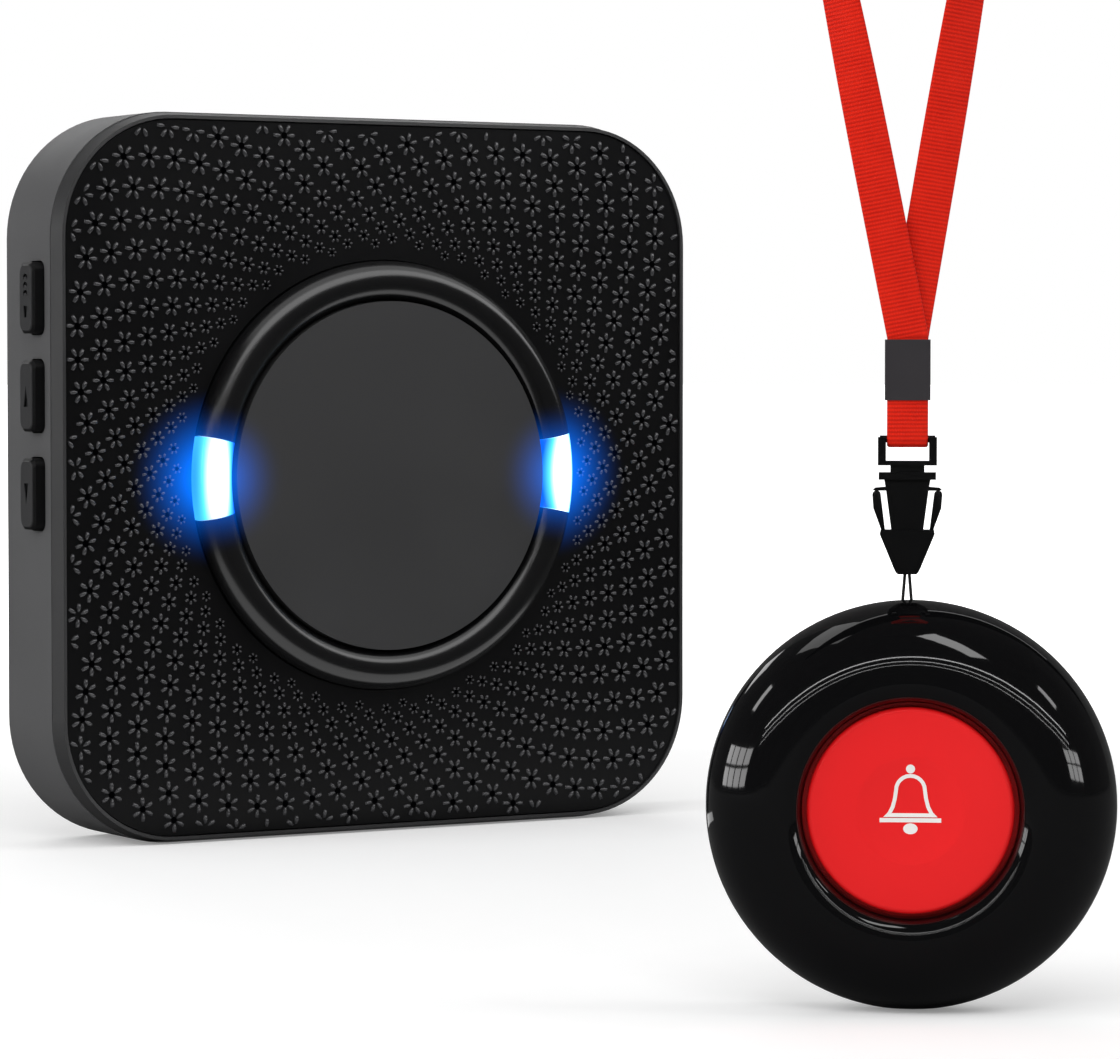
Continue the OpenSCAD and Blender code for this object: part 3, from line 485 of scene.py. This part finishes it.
# Painted shade under a flower: a thin flat black star, with a point between each pair of hollows
def painted_shade_star(points, hollow):
    bm = bmesh.new()
    rim = bmesh.ops.create_circle(bm, cap_ends=True, segments=2 * points, radius=1.0)["verts"]
    for i, vert in enumerate(rim):
        vert.co *= hollow if i % 2 else 1.0
    top = bmesh.ops.extrude_face_region(bm, geom=bm.faces[:])["geom"]
    bmesh.ops.translate(bm, vec=(0, 0, 1), verts=made_verts(top))
    bmesh.ops.recalc_face_normals(bm, faces=bm.faces)
    return bm


# True where a point of the panel lies inside its outline, drawn in by an inset
def on_panel(x, z, inset):
    straight = PANEL_HALF - PANEL_CORNER
    dx = max(0, abs(x) - straight)
    dz = max(0, abs(z) - straight)
    return math.hypot(dx, dz) < PANEL_CORNER - inset


# Six-petal flowers in spiral rows round the ring, small beside it and larger towards the panel's edge
def make_relief(petal_finish, shade_finish):
    petals, first_row, corner_reach = 6, 35.3, 1.42
    # Spacing beside the ring and far from it, the distance over which it grows, and how tightly rows lie
    small, large, settle, packing = 2.2, 4.8, 7.0, 0.87
    golden = math.radians(137.508)
    tilt, sway = math.radians(12), 0.35
    # A flower's radius as a share of the spacing, and the rest as shares of that radius
    flower, shade_reach, shade_margin, shade_hollow = 0.45, 0.86, 0.85, 0.22
    petal_place, petal_margin, petal_wide, petal_high = 0.55, 0.3, 0.165, 0.2
    petal_long, petal_growth = 0.24, 0.13
    shade_high = 0.02
    petal, shade_stamp = half_round(6), painted_shade_star(petals, shade_hollow)
    stamp = bpy.data.meshes.new("stamp")
    petal_bm, shade_bm = bmesh.new(), bmesh.new()

    def press(shape, into, x, z, turn, length, width, height):
        place = (Matrix.Translation((x * MM, PANEL_FRONT * MM, (MIDDLE + z) * MM))
                 @ Matrix.Rotation(math.radians(90), 4, "X") @ Matrix.Rotation(turn, 4, "Z")
                 @ Matrix.Diagonal((length * MM, width * MM, height * MM, 1)))
        shape.to_mesh(stamp)
        stamp.transform(place)
        into.from_mesh(stamp)

    radius, angle = first_row, 0.0
    while radius < corner_reach * PANEL_HALF:
        grown = 1 - math.exp(-(radius - first_row) / settle)
        spacing = small + (large - small) * grown
        size = flower * spacing
        x, z = radius * math.cos(angle), radius * math.sin(angle)
        lean = tilt + sway * math.sin(2 * angle)
        # Painted shade: a flat black star under the flower, between its petals
        if on_panel(x, z, shade_margin * size):
            reach = shade_reach * size
            press(shade_stamp, shade_bm, x, z, lean + math.pi / petals, reach, reach, shade_high)
        for k in range(petals):
            turn = lean + 2 * math.pi * k / petals
            px = x + petal_place * size * math.cos(turn)
            pz = z + petal_place * size * math.sin(turn)
            if on_panel(px, pz, petal_margin * size):
                length = size * (petal_long + petal_growth * grown)
                press(petal, petal_bm, px, pz, turn, length, petal_wide * size, petal_high * size)
        radius = math.sqrt(radius ** 2 + packing * spacing ** 2 / math.pi)
        angle += golden
    petal.free()
    shade_stamp.free()
    make_piece("panel_painted_shade", shade_bm, shade_finish, "receiver")
    make_piece("panel_petals", petal_bm, petal_finish, "receiver", sharp=60)


# A white bell printed on the cap: outline, knob, foot bar and clapper, laid on the dish
def make_bell(material):
    bm = bmesh.new()
    thick, stroke_wide, above_middle = 0.06, 0.42, 1.3
    bar_half_wide, bar_half_high, bar_z = 3.4, 0.24, -2.35

    def lay(vert):
        x, z = vert.co.x / MM, vert.co.y / MM
        up, lift = z + above_middle, vert.co.z / MM
        sink = CAP_TOP + DISH_SPHERE - DISH_DEPTH - math.sqrt(DISH_SPHERE ** 2 - x * x - up ** 2)
        vert.co = PENDANT @ (Vector((x, RIM_HEIGHT - sink - lift, PENDANT_RADIUS + z + above_middle)) * MM)

    def raise_shape(faces):
        made = bmesh.ops.extrude_face_region(bm, geom=faces)["geom"]
        bmesh.ops.translate(bm, vec=(0, 0, thick * MM), verts=made_verts(made))

    dome = arc(0, 1.0, 1.8, range(0, 91, 15))
    skirt = [(3.0, -2.0), (2.5, -1.5), (2.15, -0.8), (1.92, 0.1)]
    half = skirt + dome
    points = half + [(-x, z) for x, z in reversed(half[:-1])]
    outline = bm.faces.new([bm.verts.new((x * MM, z * MM, 0)) for x, z in points])
    bm.normal_update()
    stroke = bmesh.ops.inset_region(bm, faces=[outline], thickness=stroke_wide * MM, use_even_offset=True,
                                    use_boundary=True)["faces"]
    bmesh.ops.delete(bm, geom=[outline], context="FACES_ONLY")
    raise_shape(stroke)

    def disc(x, z, radius, squeeze=1.0):
        made = bmesh.ops.create_circle(bm, cap_ends=True, segments=24, radius=radius * MM)["verts"]
        bmesh.ops.scale(bm, vec=(1, squeeze, 1), verts=made)
        bmesh.ops.translate(bm, vec=(x * MM, z * MM, 0), verts=made)
        raise_shape(list({face for v in made for face in v.link_faces}))

    # Knob at the top, and the clapper below the bar
    disc(0, 3.35, 0.5)
    disc(0, -3.3, 0.8, 0.75)
    bar = bmesh.ops.create_grid(bm, x_segments=16, y_segments=1, size=1.0)["verts"]
    bmesh.ops.scale(bm, vec=(bar_half_wide * MM, bar_half_high * MM, 1), verts=bar)
    bmesh.ops.translate(bm, vec=(0, bar_z * MM, 0), verts=bar)
    raise_shape(list({face for v in bar for face in v.link_faces}))
    for vert in bm.verts:
        lay(vert)
    bmesh.ops.recalc_face_normals(bm, faces=bm.faces)
    return make_piece("bell_print", bm, material, "call_key")


# The thin cord's loop: over the eye's bar, drawn together at the buckle's nose, under the pendant's pin
def make_cord(material):
    cord_radius, slack, pin_radius, eye_radius = 0.18, 0.05, 0.45, 0.18
    pin_turn = pin_radius + slack + cord_radius
    eye_turn = eye_radius + slack + cord_radius
    throat, throat_z = 0.23, NOSE_Z + 0.2
    pinch = math.atan2(eye_turn - throat, EYE_Z - throat_z)
    slope = math.asin((pin_turn - throat) / (throat_z - PIN_Z))

    def turn_round(height, radius, start, end, steps):
        ways = [start + (end - start) * i / steps for i in range(steps + 1)]
        outs = [Vector((math.cos(way), 0, math.sin(way))) for way in ways]
        return [(Vector((0, 0, height)) + out * radius, out) for out in outs]

    line = turn_round(EYE_Z, eye_turn, -pinch, math.pi + pinch, 16)
    line.append((Vector((-throat, 0, throat_z)), Vector((-1, 0, 0))))
    line += turn_round(PIN_Z, pin_turn, math.pi - slope, 2 * math.pi + slope, 24)
    line.append((Vector((throat, 0, throat_z)), Vector((1, 0, 0))))
    stations = []
    for centre, face in placed(line):
        stations.append((centre, LANYARD.to_3x3() @ Vector((0, 1, 0)), face, 1.0))
    section = arc(0, 0, cord_radius, range(0, 360, 30))
    piece = make_piece("thin_cord", sweep(stations, section, closed=True), material, "tether", sharp=80)
    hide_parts("cord_loop")


# A squeeze arm of the buckle: round where it hangs from the shoulder, slim where it meets the socket
def make_arm(name, side, material, body, node):
    head_round, edge = 0.46, 0.06
    head = arc(*ARM_TURN, head_round, range(0, 181, 15))
    foot = [(2.5, 4.97), (2.92, 4.97), (3.8, 7.4)]
    bm = bmesh.new()
    face = bm.faces.new([bm.verts.new((side * x * MM, -TONGUE_THICK / 2 * MM, (NOSE_Z + z) * MM))
                         for x, z in head + foot])
    made = bmesh.ops.extrude_face_region(bm, geom=[face])["geom"]
    bmesh.ops.translate(bm, vec=(0, TONGUE_THICK * MM, 0), verts=made_verts(made))
    bmesh.ops.recalc_face_normals(bm, faces=bm.faces)
    rims = [e for e in bm.edges if abs(e.verts[0].co.y - e.verts[1].co.y) < edge * MM]
    bmesh.ops.bevel(bm, geom=rims, offset=edge * MM, affect="EDGES", segments=2, profile=0.5, material=-1)
    bmesh.ops.transform(bm, matrix=LANYARD, verts=bm.verts)
    piece = make_piece(name, bm, material, body)
    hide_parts(node)
    return piece


make_camera()

# Moulded acetal: waxy black with little shine
buckle_pom = moulded("acetal_moulded_black", "#060607", "#040405", 0.4, 0.25, 0.02,
                     Specular_IOR_Level=0.25)
arms = [make_arm("left_arm_bow", -1, buckle_pom, "left_arm", "left_buckle_arm"),
        make_arm("right_arm_bow", 1, buckle_pom, "right_arm", "right_buckle_arm")]
webbing = make_webbing()
strap_stations = webbing_stations(placed(strap_line()))
strap = make_piece("red_strap", sweep(strap_stations, STRAP_SECTION), webbing, "lanyard", sharp=70)
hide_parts("lanyard_strap")
fold = make_piece("red_strap_fold", sweep(webbing_stations(placed(fold_line())), STRAP_SECTION), webbing,
                  "lanyard", sharp=70)
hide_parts("strap_fold")

# Spark-textured ABS: dull and even, with no sharp highlight
shell_abs = moulded("abs_spark_textured_grey", "#4f4f50", "#474748", 0.55, 0.18, 0.03)
frame_abs = moulded("abs_spark_textured_dark", "#2b2b2c", "#262627", 0.5, 0.18, 0.03)
# The panel's dull black ground; petals of a lighter grey that stands in for their lit faces (painted light)
# and glint in real gloss; flat black stars of painted shade between the petals; all with painted blue window
# light
panel_abs = moulded("abs_satin_moulded_black", "#09090a", "#070708", 0.42, 0.3, 0.02, painted_spill=(14.0, 1.4),
                    Specular_IOR_Level=0.12)
# Painted light: the petals' lighter grey stands for light on the raised relief of the black moulding
petal_painted_light_abs = moulded("abs_gloss_relief_painted_light", "#3f3f41", "#323234", 0.2, 0.5, 0.01, painted_spill=(14.0, 1.4))
# Painted shade: near-black with no specular, laid as stars between the petals
shade_star_abs = moulded("abs_painted_shade_star", "#040405", "#020203", 0.4, 0.5, 0.01, painted_spill=(14.0, 0.7),
                  Specular_IOR_Level=0.0)
# Polished bead: soft grey bands round a black ring, and painted blue window light near the windows
ring_abs = moulded("abs_piano_black_polished", "#0a0a0b", "#070708", 0.22, 2.5, 0.004, painted_spill=(12.0, 1.3))
# Matt textured disc: flat dark grey, with painted blue window light near the windows
disc_abs = moulded("abs_matt_textured_disc", "#2c2c2d", "#262627", 0.6, 0.15, 0.02, painted_spill=(12.0, 0.7),
                   Specular_IOR_Level=0.4)
window_lit = lit_window()
key_abs = signed_key()

# Polished black ABS: a mirror-like skin with sharp reflections of the cards
pendant_abs = moulded("abs_piano_black_pendant", "#070708", "#050506", 0.05, 3.0, 0.004)
# Satin ABS: broad soft highlights on the cover, full colour on the red key
cover_abs = moulded("abs_satin_cover", "#1b1b1c", "#161617", 0.45, 0.2, 0.02)
cap_abs = moulded("abs_satin_red_cap", "#ee1a1d", "#e61518", 0.42, 0.25, 0.012, Specular_IOR_Level=0.25)
# Pad-printed ink: a matt, slightly uneven white
print_ink = moulded("pad_print_white_ink", "#f4f2ef", "#e9e6e2", 0.5, 0.12, 0.01)

# Soft PVC with a dull sheen, and braided polyester with a broken dull tone
sleeve_pvc = moulded("pvc_satin_sleeve", "#302d30", "#2a272b", 0.5, 0.3, 0.02)
cord_braid = moulded("polyester_braided_cord", "#19191a", "#0c0c0d", 0.7, 0.12, 0.06)

# Inside: nylon and epoxy mouldings in dull satin, with a clear and glossy lamp
board_mask = masked_board()
switch_nylon = moulded("nylon_moulded_switch", "#252527", "#1d1d1f", 0.5, 0.2, 0.02)
plunger_nylon = moulded("nylon_moulded_plunger", "#dcdcda", "#cfcfcc", 0.45, 0.2, 0.02)
chip_epoxy = moulded("epoxy_moulded_chip", "#262628", "#1d1d1f", 0.6, 0.1, 0.02)
lamp_epoxy = moulded("epoxy_clear_lamp", "#eaf6ff", "#d6ecfb", 0.15, 1.0, 0.004)
# Inside: shiny tape and shrink sleeve, dull pressed paper and rubbery silicone
tape_yellow = moulded("polyester_tape_wrapped", "#cfb83e", "#b99f30", 0.35, 0.6, 0.03)
sleeve_blue = moulded("pvc_shrink_sleeve", "#2d3857", "#26304b", 0.35, 0.4, 0.02)
cone_paper = moulded("paper_pressed_cone", "#242426", "#18181a", 0.85, 0.3, 0.06)
seal_silicone = moulded("silicone_moulded_seal", "#646468", "#57575b", 0.6, 0.3, 0.02)
# Metals: bright, with fine marks along the way that each was drawn, stamped or rolled
shield_tin = worked_metal("steel_tin_plated_shield", "#c6c9cd", "#aeb2b7", 0.3, (1, 1, 8))
copper_wire = worked_metal("copper_drawn_wire", "#d29257", "#b87840", 0.3, (8, 8, 1))
blade_brass = worked_metal("brass_stamped_blade", "#d0b45a", "#b99a45", 0.25, (1, 8, 1))
pressed_steel = worked_metal("steel_pressed_basket", "#8b8e93", "#74777c", 0.35, (1, 1, 1))
magnet_plate = worked_metal("steel_plated_magnet", "#9a9da2", "#85888d", 0.3, (1, 1, 1))
screw_zinc = worked_metal("steel_zinc_plated_screw", "#b7babf", "#979a9f", 0.3, (1, 4, 1))
cell_can = worked_metal("steel_brushed_cell_can", "#d2d5d8", "#b9bdc1", 0.25, (6, 1, 1))
spring_strip = worked_metal("steel_rolled_strip", "#c0c3c7", "#a3a7ac", 0.25, (1, 1, 6))

FINISHES = {
    shell_abs: ["rear_shell"],
    frame_abs: ["front_frame"],
    panel_abs: ["front_panel"],
    ring_abs: ["trim_ring"],
    window_lit: ["left_light_window", "right_light_window"],
    disc_abs: ["centre_disc"],
    key_abs: ["volume_button", "up_button", "down_button"],
    plunger_nylon: ["volume_plunger", "up_plunger", "down_plunger", "call_plunger"],
    switch_nylon: ["side_switches", "call_switch"],
    board_mask: ["main_board", "power_board", "pendant_board"],
    shield_tin: ["radio_module"],
    chip_epoxy: ["main_chip"],
    copper_wire: ["antenna_wire"],
    lamp_epoxy: ["leds"],
    tape_yellow: ["transformer"],
    sleeve_blue: ["bulk_capacitor"],
    blade_brass: ["plug_blades"],
    pressed_steel: ["speaker_basket"],
    cone_paper: ["speaker_cone"],
    magnet_plate: ["speaker_magnet"],
    screw_zinc: ["housing_screws", "back_screws"],
    pendant_abs: ["pendant_body"],
    cover_abs: ["pendant_back"],
    seal_silicone: ["body_seal", "cap_seal"],
    cap_abs: ["call_cap"],
    cell_can: ["coin_cell"],
    spring_strip: ["battery_clip", "cord_pin"],
    cord_braid: ["cord_loop"],
    buckle_pom: ["buckle_socket", "buckle_clip", "left_buckle_arm", "right_buckle_arm"],
    webbing: ["strap_fold", "lanyard_strap"],
    sleeve_pvc: ["crimp_sleeve"],
}
for finish, names in FINISHES.items():
    for name in names:
        mesh = nodes[name].data
        mesh.materials.clear()
        mesh.materials.append(finish)

make_relief(petal_painted_light_abs, shade_star_abs)
bell = make_bell(print_ink)
make_cord(cord_braid)


# A point round a target by azimuth from the front, height angle and distance, and the turn that faces it
def around_object(azimuth, elevation, distance, target=SET_MIDDLE):
    a, e = math.radians(azimuth), math.radians(elevation)
    back = Vector((math.sin(a) * math.cos(e), -math.cos(a) * math.cos(e), math.sin(e)))
    return Vector(target) + back * distance, (-back).to_track_quat("-Z", "Y")


# A soft studio lamp of a given width and height that faces the object, kept out of its gloss
def softbox(name, azimuth, elevation, distance, wide, high, watts):
    data = bpy.data.lights.new(name, "AREA")
    data.shape = "RECTANGLE"
    data.size, data.size_y = wide, high
    data.energy = watts
    lamp = bpy.data.objects.new(name, data)
    lamp.location, turn = around_object(azimuth, elevation, distance)
    lamp.rotation_euler = turn.to_euler()
    lamp.visible_camera = False
    lamp.visible_glossy = False
    scene.collection.objects.link(lamp)


# Something of the studio that only reflections show: a flag, a tent or a bright card
def reflected_only(name, bm, material):
    mesh = bpy.data.meshes.new(name)
    bm.to_mesh(mesh)
    bm.free()
    mesh.materials.append(material)
    thing = bpy.data.objects.new(name, mesh)
    thing.visible_camera = thing.visible_diffuse = thing.visible_shadow = False
    thing.visible_transmission = thing.visible_volume_scatter = False
    scene.collection.objects.link(thing)
    thing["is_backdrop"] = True


# A flat card, plain or paned, that faces the pendant or the ring from an azimuth and a height angle
def reflection_card(name, azimuth, elevation, distance, wide, high, material, columns=1, rows=1, roll=0,
                    target=PENDANT @ Vector((0, 0, PENDANT_RADIUS * MM))):
    bm = bmesh.new()
    place, turn = around_object(azimuth, elevation, distance, target)
    for i in range(columns):
        for j in range(rows):
            pane = bmesh.ops.create_grid(bm, x_segments=1, y_segments=1, size=0.5)["verts"]
            bright = (wide / columns * PANE_SHARE, high / rows * PANE_SHARE, 1)
            across = wide * ((i + 0.5) / columns - 0.5)
            up = high * ((j + 0.5) / rows - 0.5)
            bmesh.ops.scale(bm, vec=bright, verts=pane)
            bmesh.ops.translate(bm, vec=(across, up, 0), verts=pane)
    facing = turn.to_matrix().to_4x4() @ Matrix.Rotation(math.radians(roll), 4, "Z")
    bmesh.ops.transform(bm, matrix=Matrix.Translation(place) @ facing, verts=bm.verts)
    reflected_only(name, bm, material)


# A plain card beside or above the receiver, behind the pendant, that the ring shows as a grey band
def wall_card(name, place, turn, wide, high, material):
    bm = bmesh.new()
    bmesh.ops.create_grid(bm, x_segments=1, y_segments=1, size=0.5)
    bmesh.ops.scale(bm, vec=(wide, high, 1), verts=bm.verts)
    facing = Euler([math.radians(a) for a in turn]).to_matrix().to_4x4()
    bmesh.ops.transform(bm, matrix=Matrix.Translation(place) @ facing, verts=bm.verts)
    reflected_only(name, bm, material)


# A bright card's face: even light from its back, the side that looks at the object, and none from its front
def glowing(name, strength):
    material, shader = new_material(name, Roughness=0.9)
    shader.inputs["Base Color"].default_value = (0, 0, 0, 1)
    shader.inputs["Emission Color"].default_value = (1, 1, 1, 1)
    side = add(material, "ShaderNodeNewGeometry")
    level = add(material, "ShaderNodeMath", {1: strength}, {0: side.outputs["Backfacing"]},
                operation="MULTIPLY")
    material.node_tree.links.new(level.outputs["Value"], shader.inputs["Emission Strength"])
    return material


# 1 where the floor or the world is seen directly, in gloss or through a clear piece, and 0 elsewhere
def seen_share(owner):
    path = add(owner, "ShaderNodeLightPath")
    seen = add(owner, "ShaderNodeMath", None,
               {0: path.outputs["Is Camera Ray"], 1: path.outputs["Is Glossy Ray"]}, operation="MAXIMUM")
    return add(owner, "ShaderNodeMath", None,
               {0: seen.outputs["Value"], 1: path.outputs["Is Transmission Ray"]}, operation="MAXIMUM")


# White floor: paper that takes the soft shadows, topped up to white where it is seen
def make_floor():
    shadow_reach, white_reach, shadow_level = 0.22, 0.6, 0.22
    material, shader = new_material("paper_sweep_white", Roughness=0.9, Specular_IOR_Level=0.0)
    coords = add(material, "ShaderNodeTexCoord")
    fibre = add(material, "ShaderNodeTexNoise", {"Scale": per_mm(6.0), "Detail": 3.0},
                {"Vector": coords.outputs["Object"]})
    tone = add(material, "ShaderNodeMix", {6: colour("#ededed"), 7: colour("#f2f2f2")},
               {0: fibre.outputs["Fac"]}, data_type="RGBA")
    shown = seen_share(material)
    far = add(material, "ShaderNodeVectorMath", {1: (*SET_MIDDLE[:2], 0)}, {0: coords.outputs["Object"]},
              operation="DISTANCE")
    level = add(material, "ShaderNodeMapRange", {"From Min": shadow_reach, "From Max": white_reach,
                                                 "To Min": shadow_level, "To Max": 1.0},
                {"Value": far.outputs["Value"]})
    top_up = add(material, "ShaderNodeMath", None, {0: shown.outputs["Value"], 1: level.outputs["Result"]},
                 operation="MULTIPLY")
    material.node_tree.links.new(tone.outputs[2], shader.inputs["Base Color"])
    shader.inputs["Emission Color"].default_value = (1, 1, 1, 1)
    material.node_tree.links.new(top_up.outputs["Value"], shader.inputs["Emission Strength"])
    bm = bmesh.new()
    bmesh.ops.create_circle(bm, cap_ends=True, segments=64, radius=12.0)
    mesh = bpy.data.meshes.new("studio_floor")
    bm.to_mesh(mesh)
    bm.free()
    mesh.materials.append(material)
    floor = bpy.data.objects.new("studio_floor", mesh)
    scene.collection.objects.link(floor)
    floor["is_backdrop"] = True


# Pale studio all round, white where it is seen directly, in gloss or through a clear piece
def make_world():
    world = bpy.data.worlds.new("studio")
    world.use_nodes = True
    scene.world = world
    light_level, seen_level = 0.5, 1.0
    shown = seen_share(world)
    level = add(world, "ShaderNodeMapRange", {"To Min": light_level, "To Max": seen_level},
                {"Value": shown.outputs["Value"]})
    back = world.node_tree.nodes["Background"]
    back.inputs["Color"].default_value = (1, 1, 1, 1)
    world.node_tree.links.new(level.outputs["Result"], back.inputs["Strength"])
    world.cycles.sampling_method = "NONE"


# Dark cloth all round, out of sight, so that polished black pieces stay dark between the bright cards
def make_tent():
    cloth = moulded("black_flag_cloth", "#666666", "#5c5c5c", 0.9, 1.0, 0.02, Specular_IOR_Level=0.0)
    bm = bmesh.new()
    bmesh.ops.create_uvsphere(bm, u_segments=32, v_segments=16, radius=4.0)
    bmesh.ops.reverse_faces(bm, faces=bm.faces)
    reflected_only("black_tent", bm, cloth)
    bm = bmesh.new()
    bmesh.ops.create_circle(bm, cap_ends=True, segments=32, radius=3.9)
    bmesh.ops.translate(bm, vec=(0, 0, 0.0003), verts=bm.verts)
    reflected_only("black_ground", bm, cloth)
    return cloth


make_floor()
make_world()
flag_cloth = make_tent()
# Lamps by azimuth, height angle, distance, width, height and watts
softbox("key_softbox", -95, 22, 1.2, 0.8, 0.6, 5.6)
softbox("front_softbox", -35, 40, 1.3, 0.9, 0.5, 4.3)
softbox("right_softbox", 50, 32, 1.3, 0.7, 0.8, 3.7)
softbox("back_softbox", 160, 28, 1.4, 0.8, 0.6, 4.0)
strip_light = glowing("strip_lamp_face", 12.0)
pane_light = glowing("window_pane_face", 5.0)
back_light = glowing("back_card_face", 2.5)
ring_light = glowing("ring_card_face", 1.4)
front_light = glowing("front_card_face", 3.6)
# Cards that the pendant shows, by azimuth, height angle, distance, width and height
for lift, high in ((24.5, 0.006), (29.5, 0.01), (36.0, 0.02)):
    reflection_card(f"top_strip_{lift:.0f}", -31, lift, 0.9, 3.0, high, strip_light)
reflection_card("left_window", -118, 8, 1.0, 0.8, 0.25, pane_light, columns=4, rows=2)
reflection_card("right_window", 26, 9, 1.0, 0.36, 0.18, pane_light, columns=3, rows=2)
reflection_card("rim_card", -128, 32, 1.0, 0.12, 0.2, pane_light)
reflection_card("leaf_card", -8.4, 60.4, 0.9, 0.45, 0.17, pane_light, roll=-69)
reflection_card("spark_card", 35.5, 34.6, 0.9, 0.09, 0.16, pane_light, roll=20)
reflection_card("back_card", 165, 25, 1.2, 1.0, 0.24, back_light)
# A flag that keeps the panel dark, and cards that the ring shows, by place, turn, width and height
wall_card("panel_flag", (0.25, -0.15, 0.08), (90, 0, 0), 0.6, 0.16, flag_cloth)
wall_card("ring_front_card", (0.25, -0.15, 0.26), (90, 0, 0), 0.8, 0.18, front_light)
wall_card("ring_ceiling", (0.15, -0.05, 0.35), (0, 0, 0), 0.7, 0.2, ring_light)
wall_card("ring_floor_card", (0.0, -0.04, 0.0006), (180, 0, 0), 0.2, 0.045, ring_light)

scene.view_settings.view_transform = "Standard"
low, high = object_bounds()
